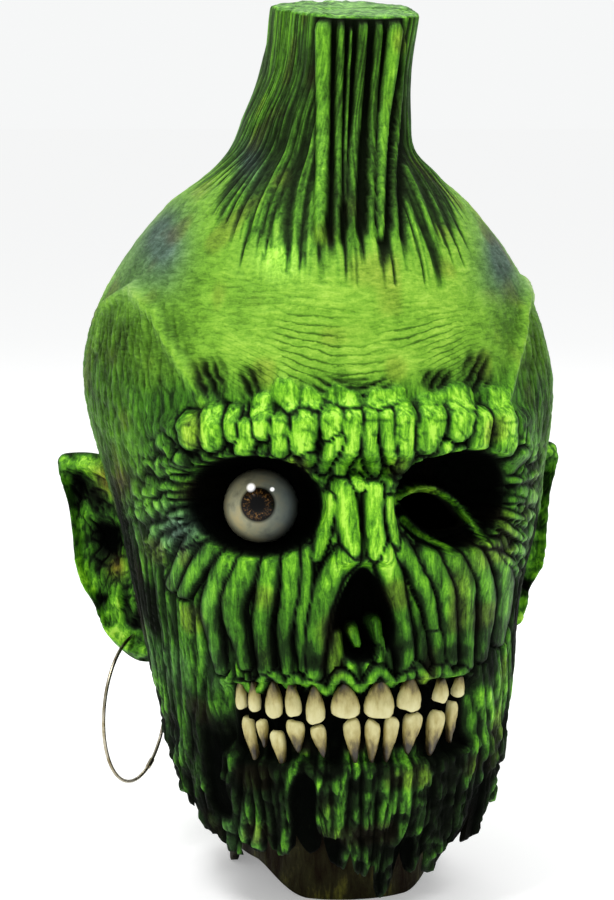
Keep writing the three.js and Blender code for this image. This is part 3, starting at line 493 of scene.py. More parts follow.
def cells(u, v, seed):
    """Irregular cells of about 1 by 1: how far a place is from its cell's edge, and a number for the cell."""
    iu = np.floor(u).astype(np.int64)
    iv = np.floor(v).astype(np.int64)
    nearest, second = np.full(u.shape, FAR), np.full(u.shape, FAR)
    pick = np.zeros(u.shape)
    for du, dv in itertools.product((-1, 0, 1), repeat=2):
        cu, cv = iu + du, iv + dv
        seat_u = cu + 0.5 + 0.9 * (lattice(cu, cv, 1, seed) - 0.5)
        seat_v = cv + 0.5 + 0.9 * (lattice(cu, cv, 2, seed) - 0.5)
        away = np.hypot(u - seat_u, v - seat_v)
        closer = away < nearest
        second = np.where(closer, nearest, np.minimum(second, away))
        pick = np.where(closer, lattice(cu, cv, 3, seed), pick)
        nearest = np.where(closer, away, nearest)
    return second - nearest, pick


# The sections in millimetres, head first and mohawk after it: z, half, widest, front, back, power, shift,
# skew, flare and rise.
SECTIONS = np.array([
    (up * SKULL_HEIGHT, half * HALF_WIDTH, -widest * FACE_DEPTH, -front * FACE_DEPTH, back * SKULL_BACK,
     power, shift * HALF_WIDTH, 0, 0, 0)
    for up, half, widest, front, back, power, shift in HEAD_SECTIONS
] + [
    (SKULL_HEIGHT + up * MOHAWK_HEIGHT, half * MOHAWK_WIDTH / 2, 0, -front * MOHAWK_FRONT, back * MOHAWK_BACK,
     power, shift * MOHAWK_SHIFT, skew * MOHAWK_SKEW, flare * MOHAWK_FLARE / MOHAWK_FRONT,
     rise * MOHAWK_RISE / 2)
    for up, half, front, back, power, shift, skew, flare, rise in MOHAWK_SECTIONS
])
LAST_SECTION = len(SECTIONS) - 1


def section_at(level):
    """A smooth curve through the sections: level 0 is the first and LAST_SECTION the last."""
    level = np.asarray(level, float)
    i = np.clip(np.floor(level).astype(int), 0, LAST_SECTION - 1)
    knots = (SECTIONS[np.clip(i + k, 0, LAST_SECTION)] for k in (-1, 0, 1, 2))
    return between_knots(*knots, (level - i)[..., None])


def outline_point(section, angle):
    """A point of a closed outline at an angle from the front, positive towards +X."""
    z, half, widest, front, back, power, shift, skew, flare, rise = np.moveaxis(section, -1, 0)
    side, ahead = np.sin(angle), np.cos(angle)
    reach = np.where(ahead > 0, widest - front, back - widest)
    radius = (np.abs(side / half) ** power + np.abs(ahead / reach) ** power) ** (-1 / power)
    y = widest - radius * ahead
    x = radius * side * (1 + flare * y) + shift + skew * y
    return np.stack([x, y, z - rise * ahead * np.abs(ahead)], -1)


def form_point(angle, level):
    return outline_point(section_at(level), angle)


def form_normal(angle, level):
    step = 1e-3
    across = form_point(angle + step, level) - form_point(angle - step, level)
    upper, lower = np.minimum(LAST_SECTION, level + step), np.maximum(0, level - step)
    along = form_point(angle, upper) - form_point(angle, lower)
    out = np.cross(across, along)
    return out / np.linalg.norm(out, axis=-1, keepdims=True)


FINE_LEVELS = np.linspace(0, LAST_SECTION, 6001)
FINE_HEIGHTS = section_at(FINE_LEVELS)[:, 0]


def level_at(z):
    return np.interp(z, FINE_HEIGHTS, FINE_LEVELS)


def seat_on_face(x, z):
    """A place on the form's front and the frame there: point, across, up and out."""
    level = level_at(z)
    angles = np.linspace(-math.pi / 2, math.pi / 2, 2001)
    angle = np.interp(x, form_point(angles, np.full(angles.shape, level))[:, 0], angles)
    out = form_normal(angle, level)
    across = np.cross([0, 0, 1], out)
    across /= np.linalg.norm(across)
    return form_point(angle, level), across, np.cross(out, across), out


def photo_pixels(points):
    """Where points of the form lie in the photo."""
    from_camera = points - LOOK_AT - CAMERA_DISTANCE * TO_CAMERA
    depth = -(from_camera @ TO_CAMERA)
    px = PHOTO_WIDTH / 2 + FOCAL_PIXELS * (from_camera @ CAMERA_RIGHT) / depth
    py = PHOTO_HEIGHT / 2 - FOCAL_PIXELS * (from_camera @ CAMERA_UP) / depth
    return px, py


def ear_frame(side):
    flare = math.radians(EAR_FLARE_DEG)
    x, back, up = RIGHT_EAR_PLACE if side < 0 else LEFT_EAR_PLACE
    point = np.array([x * HALF_WIDTH, back * SKULL_BACK, up * SKULL_HEIGHT])
    across = np.array([side * math.cos(flare), math.sin(flare), 0])
    out = np.array([side * math.sin(flare), -math.cos(flare), 0])
    return point, across, out


def lobe_hole():
    """The middle of the pierced hole in the wearer's right lobe."""
    point, across, out = ear_frame(-1)
    out_at, up_at, depth_at = PIERCING_PLACE
    aside = out_at * EAR_WIDTH * across + depth_at * EAR_THICKNESS * out
    return point + aside + [0, 0, up_at * EAR_HEIGHT]


# The form is drawn round its own upright axis, and the frame's origin lies under the middle of the whole box.
# The hoop hangs from its hole, so its box gives how far apart the two are.
ROW_SHIFT = np.append((np.add(*map(np.array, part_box("ear_hoop"))) / 2 / MM - lobe_hole())[:2], 0)


def hollows(x, y, z, grow=0, backing=0):
    """How far sockets, nose and mouth push the face in, each by itself."""
    socket_x = np.where(x < 0, RIGHT_SOCKET_PLACE[0], LEFT_SOCKET_PLACE[0]) * HALF_WIDTH
    socket_z = np.where(x < 0, RIGHT_SOCKET_PLACE[1], LEFT_SOCKET_PLACE[1]) * SKULL_HEIGHT
    nose_z = NOSE_PLACE[1] * SKULL_HEIGHT
    mouth_x, mouth_z = MOUTH_PLACE[0] * HALF_WIDTH, MOUTH_PLACE[1] * SKULL_HEIGHT
    socket_u = (x - socket_x) / (SOCKET_HALF_WIDTH + grow)
    socket_v = (z - socket_z) / (SOCKET_HALF_HEIGHT + grow)
    narrowing = 1 - 0.6 * clamp01((z - nose_z + 0.6 * NOSE_HALF_HEIGHT) / (1.8 * NOSE_HALF_HEIGHT))
    in_nose = np.hypot(x / (NOSE_HALF_WIDTH * narrowing + grow), (z - nose_z) / (NOSE_HALF_HEIGHT + grow))
    mouth_u = np.abs(x - mouth_x) / (MOUTH_HALF_WIDTH + grow)
    mouth_v = np.abs(z - mouth_z) / (MOUTH_HALF_HEIGHT + grow)
    in_mouth = (np.minimum(mouth_u, 9) ** 6 + np.minimum(mouth_v, 9) ** 6) ** (1 / 6)
    front = y < 0
    socket = SOCKET_DEPTH * smooth_step(1.1, 0.7, np.hypot(socket_u, socket_v)) * front
    nose = NOSE_DEPTH * smooth_step(1.15, 0.5, in_nose) * front
    mouth = (MOUTH_DEPTH + backing) * smooth_step(1, 0.88, in_mouth) * front
    return socket, nose, mouth


def bent(crest):
    """A crest line with its corners cut twice."""
    for _ in range(2):
        line = np.array(crest, float)
        before, after = line[:-1], line[1:]
        cut_at = np.stack([0.75 * before + 0.25 * after, 0.25 * before + 0.75 * after], 1).reshape(-1, 2)
        crest = [tuple(line[0]), *map(tuple, cut_at[1:-1]), tuple(line[-1])]
    return crest


def to_span(x, y, start, end):
    """The nearest place of a straight span to each point: how far along the span it is, as a share of its
    length, and how far away."""
    (ax, ay), (bx, by) = start, end
    along = clamp01(((x - ax) * (bx - ax) + (y - ay) * (by - ay)) / ((bx - ax) ** 2 + (by - ay) ** 2))
    return along, np.hypot(x - ax - along * (bx - ax), y - ay - along * (by - ay))


def fold_field(px, py, folds):
    """The folds at each place of the photo: their height, their own share of it, how near the nearest one is
    as a share of its half width, and how much farther the next."""
    high, share = np.zeros(px.shape), np.zeros(px.shape)
    near, second = np.full(px.shape, FAR), np.full(px.shape, FAR)
    for half, tip, height, crest in folds:
        crest = bent(crest)
        length = sum(map(math.dist, crest, crest[1:]))
        own = np.full(px.shape, FAR)
        run = 0
        for start, end in zip(crest, crest[1:]):
            span = math.dist(start, end)
            along, off = to_span(px, py, start, end)
            off = off / (half + (tip - half) * (run + along * span) / length)
            run += span
            profile = np.sqrt(clamp01(1 - off ** 2.4))
            high = np.maximum(high, height * profile)
            share = np.maximum(share, profile)
            own = np.minimum(own, off)
        second = np.minimum(second, np.maximum(near, own))
        near = np.minimum(near, own)
    return high, share, near, second - near


def lid_heights(x, z):
    """The lids that stand up from the empty socket's floor round the slit: their share of LID_HEIGHT."""
    cx, cz = LID_PLACE[0] * HALF_WIDTH, LID_PLACE[1] * SKULL_HEIGHT
    tilt = math.radians(LID_TILT_DEG)
    u = (x - cx) * math.cos(tilt) + (z - cz) * math.sin(tilt)
    v = (z - cz) * math.cos(tilt) - (x - cx) * math.sin(tilt)
    edge = LID_HALF_HEIGHT * (1 - (u / LID_HALF_LENGTH) ** 2)
    wide = smooth_step(1.45, 1.05, np.abs(u) / LID_HALF_LENGTH)
    return np.exp(-((np.abs(v) - edge - LID_CREST_OFF) / LID_CREST_WIDTH) ** 2) * wide


def temple_height(angle, z):
    """The ridge round each temple: its share of TEMPLE_RIDGE_HEIGHT."""
    reach = HALF_WIDTH * np.abs(angle)
    ridge = [(HALF_WIDTH * math.radians(at), up * SKULL_HEIGHT) for at, up in TEMPLE_RIDGE]
    off = np.minimum.reduce([to_span(reach, z, start, end)[1] for start, end in zip(ridge, ridge[1:])])
    return smooth_step(TEMPLE_RIDGE_HALF_WIDTH, 0, off)


def raised_forms(angle, x, y, z):
    """How far the brow, the nose's bridge and the temples' ridges raise the face, and the ridges alone."""
    brow_off = np.abs(z - BROW_PLACE[1] * SKULL_HEIGHT + BROW_DROP * (x / HALF_WIDTH) ** 2) / BROW_HALF_HEIGHT
    brow = smooth_step(1.05, 0.45, brow_off) * smooth_step(0.82, 0.62, np.abs(x) / HALF_WIDTH) * (y < 0)
    beside = np.abs(x) / NOSE_HALF_WIDTH
    bridge_off = np.abs(z - BRIDGE_PLACE[1] * SKULL_HEIGHT) / (0.95 * NOSE_HALF_HEIGHT)
    bridge = smooth_step(1, 0.4, beside) * smooth_step(1.1, 0.8, bridge_off) * (y < 0)
    ridge = temple_height(angle, z)
    return BROW_HEIGHT * brow + BRIDGE_HEIGHT * bridge + TEMPLE_RIDGE_HEIGHT * ridge, ridge


def cords(arc, z, width, seed):
    """Uneven cords that hang side by side and run together: 0 in their grooves and 1 on their crests."""
    place = np.stack([arc, 0.3 * z, 0 * z], -1)
    phase = arc / width + 1.1 * noise(place, 2.4 * width, seed) + 0.35 * noise(place, width, seed + 1)
    depth = 0.8 + 0.35 * noise(place, 2 * width, seed + 2)
    return 1 - clamp01(depth) * (1 - np.abs(np.sin(math.pi * phase)) ** 0.6)


def drawn_skin(px, py, p):
    """Skin drawn together round the eye sockets: its height and tone, how much of it a place is, and the
    small knobs that it is covered with."""
    crest = np.zeros(px.shape)
    much = np.zeros(px.shape)
    for middle_x, middle_y in SOCKET_MIDDLES:
        turn = np.arctan2(py - middle_y, px - middle_x)
        away = np.hypot((px - middle_x) / 1.25, py - middle_y)
        phase = 4.4 * turn + 0.5 * noise(p, 9, 131) + 0.3 * noise(p, 4, 132) + away / 90
        here = smooth_step(*DRAWN_REACH, away)
        crest = np.where(here > much, np.abs(np.sin(math.pi * phase)) ** 0.55, crest)
        much = np.maximum(much, here)
    beside_nose = smooth_step(*NOSE_SIDES, np.abs(px - NOSE_MIDDLE))
    much = much * np.maximum(beside_nose, smooth_step(*NOSE_ROOT, py)) * smooth_step(*BROW_BEGINS, py)
    knobs, _ = cells(px / 11 + 0.4 * rough(p, 8, 31), py / 13 + 0.4 * rough(p, 8, 32), 5)
    knob = smooth_step(0, 0.3, knobs)
    height = 2.8 * crest * (0.7 + 0.3 * knob) - 1.7
    return height, 0.04 + 0.72 * crest ** 1.3 * (0.55 + 0.45 * knob), much, knob


def mohawk_hair(angle, z, px, py, facing):
    """The mohawk's locks, which end in points: their height and tone, and how much of the skin they cover."""
    turn = np.abs(np.degrees(angle))
    across = angle * MOHAWK_FRONT
    wander = 0.3 * noise(np.stack([across, z / 6, 0 * z], -1), 9, 81)
    strand, pick = cells(across / STRAND_WIDTH + wander, z / 160, 9)
    hair, hair_pick = cells(across / HAIR_WIDTH + 2 * wander, z / 50, 10)
    strands = smooth_step(0, 0.4, strand)
    hairs = smooth_step(0, 0.5, hair)
    end = LOCKS_END - LOCKS_FRONT_DROP * smooth_step(62, 12, turn) - 10 * (pick - 0.5)
    reach = 5 + 15 * smooth_step(55, 20, turn) * hair_pick
    cover = smooth_step(-3, 9, z - end + reach * (1 - strands * hairs))
    band = 0.5 + 0.5 * noise(np.stack([across, z / 12, 0 * z], -1), 7, 83)
    side_tone = 0.2 + 0.56 * strands * (0.4 + 0.6 * band) * (0.45 + 0.55 * hairs * (0.5 + hair_pick))
    side_tone = side_tone + 0.2 * smooth_step(316, 290, z) * strands
    side_height = 0.9 * strands + 0.5 * hairs - 0.9

    bright_high, bright, bright_near, _ = fold_field(px, py, BRIGHT_LOCKS)
    dim_high, dim, dim_near, _ = fold_field(px, py, DIM_LOCKS)
    near = np.minimum(bright_near, dim_near)
    front = facing * smooth_step(*FRONT_LOCKS_START, px) * smooth_step(*FRONT_LOCKS_END, px)
    front = front * smooth_step(*FRONT_LOCKS_FOOT, py + 16 * strands)
    bright_tone = 0.8 * bright * (0.8 + 0.2 * hairs)
    dim_tone = 0.6 * dim * (0.6 + 0.4 * hairs)
    front_tone = np.maximum(np.maximum(bright_tone, dim_tone), 0.06)
    front_height = np.maximum(bright_high, dim_high) - 1.6 * smooth_step(0.8, 1.3, near) + 0.25 * hairs
    return mix(side_height, front_height, front), mix(side_tone, front_tone, front), cover


def scalp_skin(angle, arc, z, p, px, py, facing):
    """The bald scalp and temples: the height and tone of their fine creases, the slow swirl that bends them,
    and how strong the forehead's lines are and how many of them lie above a place."""
    turn = np.abs(np.degrees(angle))
    up = z / SKULL_HEIGHT
    aside = px - FOREHEAD_MIDDLE
    swirl = rough(p, 22, 51)
    grain = rough(p, 4, 71)
    sag = py + (0.002 + 0.00006 * (py - FOREHEAD_TOP)) * aside ** 2
    lines = smooth_step(*FOREHEAD_LINES_TOP, py) * (1 - smooth_step(*BROW_BEGINS, py)) * facing
    lines = lines * smooth_step(*FOREHEAD_LINES_END, np.abs(aside))
    lines = lines * smooth_step(-0.9, 0.3, noise(p * [0.4, 1, 1], 8, 52))
    ring = np.hypot(arc, (z - 0.97 * SKULL_HEIGHT) * 1.1)
    faint = np.abs(np.sin(ring / 1.7 + 5 * swirl)) ** 0.6
    height = 0.2 * faint + 0.5 * rough(p, 26, 61) + 0.3 * grain
    tone = 0.72 + 0.1 * swirl + 0.05 * grain + 0.04 * faint
    # Painted shade: the scalp gets darker towards its sides.
    tone = tone - facing * (0.17 * smooth_step(*SCALP_RIGHT, px) + 0.22 * smooth_step(*SCALP_LEFT, px))

    arcs = np.hypot(aside, (py - ARCS_MIDDLE) * 1.3) / LINE_SPACING + 0.5 * swirl / math.pi
    gap = (1 - np.abs(np.sin(math.pi * arcs))) * blob(px, py, CREASED_MIDDLE, 4) * facing
    height = height - 1.1 * gap
    tone = tone - 0.8 * gap

    streaky = np.abs(np.sin(math.pi * ((np.abs(aside) + 0.5 * py) / 11 + 0.4 * grain)))
    for place in CREASED_PATCHES:
        patch = blob(px, py, place, 4) * facing
        height = height - patch * (2.2 - 1.8 * streaky)
        tone = mix(tone, 0.02 + 0.5 * streaky ** 2, patch)

    temple = smooth_step(0.83, 0.76, up) * smooth_step(0.36, 0.46, up)
    temple = smooth_step(32, 48, turn) * temple * (turn < 115)
    cracks, pick = cells(arc / CRACK_WIDTH + 0.7 * swirl, z / CRACK_HEIGHT + 0.5 * swirl, 8)
    wrinkled = cords(arc + 0.25 * z, z, TEMPLE_CORD_WIDTH, 140)
    height = height + temple * (0.8 * smooth_step(0, 0.22, cracks) - 0.8 + 0.7 * wrinkled)
    tone = tone - temple * (0.36 - 0.12 * smooth_step(0, 0.2, cracks) - 0.2 * wrinkled + 0.1 * pick)
    return height, tone, swirl, lines, sag / LINE_SPACING + 0.5 * swirl


def hanging_skin(arc, z, p, turn, swirl):
    """Cords of torn skin down the cheeks, the jaw and the nape, broken into lobes lower down: their height
    and tone, and how much of the skin they are."""
    up = z / SKULL_HEIGHT
    low = smooth_step(*JAW_START, up)
    behind = smooth_step(*NAPE_TURN, turn)
    ragged = 0.1 * noise(p * [1, 1, 0.3], 16, 50) * behind
    hang = smooth_step(*SIDE_CORDS_START, up) * smooth_step(*SIDE_TURN, turn)
    hang = np.maximum(smooth_step(*FRONT_CORDS_START, up), hang)
    hang = mix(hang, smooth_step(*NAPE_CORDS_START, up + ragged), behind)
    lobes, _ = cells(arc / LOBE_WIDTH + 0.6 * swirl, z / LOBE_HEIGHT + 0.5 * swirl, 6)
    lobe = smooth_step(0, 0.25, lobes)
    blotch = np.maximum(smooth_step(-0.45, 0.4, noise(p * [1, 1, 0.6], 13, 46)), 0.6 * behind)
    torn = smooth_step(0.15, 0.45, noise(p * [1, 1, 0.4], 11, 47)) * low
    broken = smooth_step(-0.35, 0.35, noise(p * [1, 1, 0.7], 4, 49))
    cord = 0.7 * cords(arc, z, CORD_WIDTH, 41) + 0.3 * cords(arc, z, SLIM_CORD_WIDTH, 44)
    cord = mix(cord, cords(arc, z, NAPE_CORD_WIDTH, 42), behind)
    cord = cord * (1 - 0.35 * low * (1 - lobe)) * (1 - torn)
    # Painted shade: the cords are darker on the sides of the head.
    dim = 0.2 * smooth_step(35, 48, turn) * (up > 0.3)
    tone = 0.02 + 0.9 * cord ** 2.1 * (0.3 + 0.7 * blotch) * (1 - dim)
    cord = cord * (1 - 0.35 * low * (1 - broken))
    tone = tone * (1 - 0.55 * low * (1 - broken)) + 0.12 * low * broken * cord
    return 4.4 * cord - 2.8, tone, hang


def face_folds(px, py, p, facing, height, tone):
    """The skin with the drawn folds on it: its height and tone, how far inside a fold a place is, and
    how near the nearest one is."""
    high, share, near, apart = fold_field(px, py, ALL_FOLDS)
    seam, _ = cells(px / 17 + 0.3 * rough(p, 9, 33), py / 14 + 0.3 * rough(p, 9, 34), 15)
    seamed = np.maximum(smooth_step(0.0, 0.12, seam), smooth_step(*BROW_ENDS, py))
    inside = smooth_step(1.03, 0.93, near) * facing
    parted = smooth_step(0, 0.34, apart)
    merged = smooth_step(*FOLDS_BEGIN, py + 5 * rough(p, 7, 35))
    groove = smooth_step(1.35, 1.06, near) * facing * merged
    frayed = smooth_step(-0.5, 0.5, noise(p * [1, 1, 0.6], 3.5, 48))
    # Painted shade: the face is darker towards its sides and over the lower ends of the cheek folds, broken
    # up by noise.
    dim = 0.14 * smooth_step(*FACE_RIGHT, px) + 0.25 * smooth_step(*FACE_LEFT, px)
    dim = dim + smooth_step(*CHEEK_SHADE, py) * smooth_step(*CHEEK_ENDS, py) * (0.6 - 0.35 * frayed)
    # Painted light: the folds on the brow and the nose's bridge are brighter, as if lit from above.
    bridge = smooth_step(*BRIDGE_SIDES, np.abs(px - NOSE_MIDDLE)) * smooth_step(*BRIDGE_FOOT, py)
    lit = np.maximum(smooth_step(*LIT_BROW, py), bridge)
    # Painted shade darkens the lower ends of the brow's lumps.
    under = smooth_step(*BROW_SHADE_STARTS, py) * smooth_step(*BROW_SHADE_ENDS, py)
    fold_tone = (0.84 + 0.32 * lit) * share ** (1.7 - 0.8 * lit) * (0.6 + 0.4 * seamed) * (1 - dim)
    fold_tone = fold_tone * (0.86 + 0.14 * rough(p, 5, 36)) * (0.15 + 0.85 * parted) * (1 - 0.3 * under)
    fold_tone = np.maximum(fold_tone, (1 - merged) * np.minimum(tone + 0.15, 0.9))
    high = np.maximum(high, 1.6 * (1 - merged)) * (0.7 + 0.12 * seamed + 0.18 * parted)
    height = mix(mix(height, -1.6, groove), high, inside)
    return height, mix(tone * (1 - 0.9 * groove), fold_tone, inside), inside, near


def bruises(px, py, p, up, turn, facing, hang):
    """Where the paint is cool and where it is stained brown."""
    cool = sum(blob(px, py, place) for place in COOL_PATCHES) * facing
    cool = cool + (1 - facing) * 0.5 * smooth_step(0, 0.6, noise(p, 40, 95)) * smooth_step(0.6, 0.7, up)
    cool = cool + 0.22 * hang * smooth_step(0.1, 0.6, noise(p, 18, 96)) * smooth_step(35, 50, turn)
    sides = smooth_step(*COOL_RIGHT, px) + smooth_step(*COOL_LEFT, px)
    cool = cool + 0.4 * facing * sides * smooth_step(*COOL_ENDS, py)
    stain = 0.5 * blob(px, py, STAINED_PATCH) * facing + 0.25 * smooth_step(0.3, 0.8, noise(p, 13, 97))
    return cool, stain


def skin_relief(angle, level, p):
    """The skin's height over the form in millimetres, and its paint: tone from the black of the creases to
    bright crests, bald from the face's green to the scalp's paler one, cool where it is bruised grey, stain
    where it is brown, how strong the forehead's lines are, and sag, which counts those lines downwards."""
    x, y, z = np.moveaxis(p, -1, 0)
    up = z / SKULL_HEIGHT
    turn = np.abs(np.degrees(angle))
    out = form_normal(angle, level)
    facing = smooth_step(0.05, 0.3, out @ TO_CAMERA) * (y < 20)
    straight_x, straight_y = photo_pixels(p)
    px = straight_x + 1.6 * rough(p, 9, 11)
    py = straight_y + 2.2 * rough(p, 9, 21)
    arc = angle * section_at(level)[..., 1]

    raised, temple_ridge = raised_forms(angle, x, y, z)
    height, tone, swirl, lines, sag = scalp_skin(angle, arc, z, p, px, py, facing)
    tone = tone + 0.3 * blob(px, py, BRIGHT_PATCH) * facing + 0.24 * temple_ridge ** 1.5
    cord_height, cord_tone, hang = hanging_skin(arc, z, p, turn, swirl)
    height, tone = mix(height, cord_height, hang), mix(tone, cord_tone, hang)
    drawn_height, drawn_tone, much, knob = drawn_skin(px, py, p)
    height, tone = mix(height, drawn_height, much * facing), mix(tone, drawn_tone, much * facing)
    height, tone, inside, near = face_folds(px, py, p, facing, height, tone)
    hair_height, hair_tone, hair = mohawk_hair(angle, z, straight_x, straight_y, facing)
    height, tone = mix(height, hair_height, hair), mix(tone, hair_tone, hair)

    # The sockets, nose and mouth go in after the folds, and the lids and the nose's lumps stand up in them.
    socket, nose, mouth = hollows(x, y, z)
    _, lump_share, _, _ = fold_field(*photo_pixels(p - out * (0.5 * nose)[..., None]), NOSE_LUMPS)
    nose = nose * (1 - 0.75 * lump_share)
    lids = lid_heights(x, z) * smooth_step(0.6, 0.95, socket / SOCKET_DEPTH) * (x > 0)
    pits = np.maximum(np.maximum(socket, nose), mouth) - lids * LID_HEIGHT
    height = raised + height - pits + 0.2 * rough(p, 3.6, 91) * (1 - 0.6 * hair)
    _, lid_share, _, _ = fold_field(*photo_pixels(p + out * height[..., None]), LID_EDGES)
    in_lips = smooth_step(*LIPS_RIGHT, px) * smooth_step(*LIPS_LEFT, px)
    in_lips = in_lips * smooth_step(*LIPS_FOOT, py + 8 * rough(p, 6, 37))
    darkness = np.maximum.reduce([
        smooth_step(1.5, 6.5, socket),
        smooth_step(0.8, 3.5, nose),
        smooth_step(0.6, 2.5, mouth) * (1 - 0.95 * smooth_step(1.5, 1, near)) * in_lips,
    ])
    tone = tone * (1 - darkness)
    tone = np.maximum(tone, 0.8 * lid_share ** 1.5 * (x > 0) * (y < 0) * (0.7 + 0.3 * knob))
    tone = np.maximum(tone, 0.6 * lump_share * (y < 0))
    # Painted shade: the skin is darker where it turns to the sides, and darker towards the bottom.
    side_shade = 0.15 * smooth_step(50, 75, turn) * smooth_step(0.66, 0.5, up)
    tone = tone * (1 - side_shade - 0.25 * smooth_step(0.3, 0.16, up))

    bald = smooth_step(0.685, 0.75, up + 0.02 * swirl) * (1 - 0.75 * hair)
    bald = bald * (1 - 0.8 * blob(px, py, GREEN_PATCH) * facing)
    bald = np.maximum(bald * (1 - inside), 0.35 * smooth_step(48, 62, turn) * smooth_step(0.5, 0.62, up))
    cool, stain = bruises(px, py, p, up, turn, facing, hang)
    return height, *map(clamp01, (tone, bald, cool, stain, lines * (1 - inside))), sag


def hem_height(angle):
    """The end of the shred at an angle: each hangs round-ended and frayed, with a tear on either side."""
    degrees = np.degrees(angle)
    height = np.zeros(np.shape(angle))
    for shreds, here in ((SHREDS_LEFT, degrees >= 0), (SHREDS_RIGHT, degrees < 0)):
        at = np.array([row[0] for row in shreds], float)
        tips = np.array([row[1] for row in shreds]) * SKULL_HEIGHT
        edges = np.concatenate([[-at[1] / 2], (at[1:] + at[:-1]) / 2])
        i = np.clip(np.searchsorted(edges, np.abs(degrees), side="right") - 1, 0, len(at) - 2)
        aside = np.abs(2 * (np.abs(degrees) - edges[i]) / (edges[i + 1] - edges[i]) - 1)
        height = np.where(here, tips[i] + SHRED_NOTCH * aside ** 3, height)
    frayed = np.stack([degrees * 1.8, 0 * degrees, 0 * degrees], -1)
    return height + 2.6 * noise(frayed, 7, 101) + 0.5 * noise(frayed, 3, 102)


def underside_height(angle):
    return read_table(UNDERSIDE, np.abs(np.degrees(angle))) * SKULL_HEIGHT


def rim_height(angle):
    degrees = np.abs(np.degrees(angle))
    return NECK_ARCH * smooth_step(20, 50, degrees) * smooth_step(95, 70, degrees)


def neck_point(angle, z, inset):
    neck = np.zeros(10)
    neck[:7] = 0, NECK_WIDTH / 2 - inset, 0, inset - NECK_FRONT, NECK_BACK - inset, NECK_POWER, NECK_SHIFT
    point = outline_point(np.broadcast_to(neck, np.shape(angle) + (10,)), angle)
    point[..., 2] = z
    return point


def column_angles(count=None):
    """Angles of the skin's columns, close together over the face and wide apart behind."""
    if count:
        return np.linspace(-math.pi, math.pi, count, endpoint=False)
    fine = np.linspace(-math.pi, math.pi, 8001)
    aside = smooth_step(math.radians(76), math.radians(125), np.abs(fine))
    gap = FACE_GRAIN + (BACK_GRAIN - FACE_GRAIN) * aside
    run = np.concatenate([[0], np.cumsum((fine[1] - fine[0]) * HALF_WIDTH / gap[:-1])])
    whole = int(run[-1])
    return np.interp(np.arange(whole) * run[-1] / whole, run, fine)


def row_heights(grain):
    """Heights of the skin's rows from the top of the mohawk down to the section above the hem."""
    crown, forehead = 0.9 * SKULL_HEIGHT, 0.82 * SKULL_HEIGHT
    ends = [SKULL_HEIGHT + MOHAWK_HEIGHT, SKULL_HEIGHT, crown, forehead, SECTIONS[2][0]]
    rows = []
    for top, bottom, step in zip(ends, ends[1:], ROW_STEPS):
        count = max(2, int((top - bottom) / (step * grain)))
        rows += list(np.linspace(top, bottom, count, endpoint=False))
    return rows + [SECTIONS[2][0]]


def crown_middle(lift):
    return np.array([SECTIONS[-1][6], 0, SECTIONS[-1][0] + lift])


def closed_mesh(name, rings, top, bottom):
    """A closed mesh through rings of points from the top down, with a point at each end, set in the frame."""
    columns = len(rings[0])
    points = np.concatenate([[top], np.reshape(rings, (-1, 3)), [bottom]]) + ROW_SHIFT
    here = 1 + np.arange(columns)
    after = 1 + (np.arange(columns) + 1) % columns
    faces = [(0, int(a), int(b)) for a, b in zip(here, after)]
    for r in range(len(rings) - 1):
        a, b = here + r * columns, after + r * columns
        faces += np.stack([a, a + columns, b + columns, b], -1).tolist()
    last = (len(rings) - 1) * columns
    faces += [(len(points) - 1, int(b) + last, int(a) + last) for a, b in zip(here, after)]
    mesh = bpy.data.meshes.new(name)
    mesh.from_pydata((points * MM).tolist(), [], faces)
    mesh.shade_smooth()
    return mesh


def new_object(name, mesh):
    made = bpy.data.objects.new(name, mesh)
    bpy.context.scene.collection.objects.link(made)
    return made


def set_floats(mesh, name, values):
    attribute = mesh.attributes.get(name) or mesh.attributes.new(name, "FLOAT", "POINT")
    attribute.data.foreach_set("value", np.asarray(values, np.float32))


def with_ends(rings):
    """The values of a closed mesh's rings, and the first and last one's again for the points at its ends."""
    return np.concatenate([rings[0][:1], *rings, rings[-1][:1]])


def crown_rings(brim):
    """Rings that close the mohawk's top from its brim inwards, each with the tone of its stubble."""
    middle = crown_middle(0)
    from_middle = brim - middle
    for inward, lift in CROWN_RINGS:
        share = 1 - inward / np.hypot(from_middle[:, 0], from_middle[:, 1])
        ring = middle + from_middle * share[:, None] + [0, 0, lift]
        ring[:, 2] += 0.7 * noise(ring, 4, 111)
        yield ring, 0.7 + 0.14 * noise(ring, 5, 112)


def neck_rings(angles, under):
    """Rings of the short wrinkled neck from the underside down, each with the tone of its wrinkles."""
    rim = rim_height(angles)
    for share in np.linspace(0, 1, 12):
        p = neck_point(angles, under + share * (rim - under), 0)
        wrinkle = rough(p * [1, 1, 0.5], 9, 121)
        out = (p - [NECK_SHIFT, 0, 0]) * [1, 1, 0]
        out /= np.linalg.norm(out, axis=-1, keepdims=True)
        swell = 1.2 * wrinkle * min(1, 4 * share, 6 * (1 - share) + 0.01)
        yield p + out * swell[:, None], 0.3 + 0.25 * wrinkle


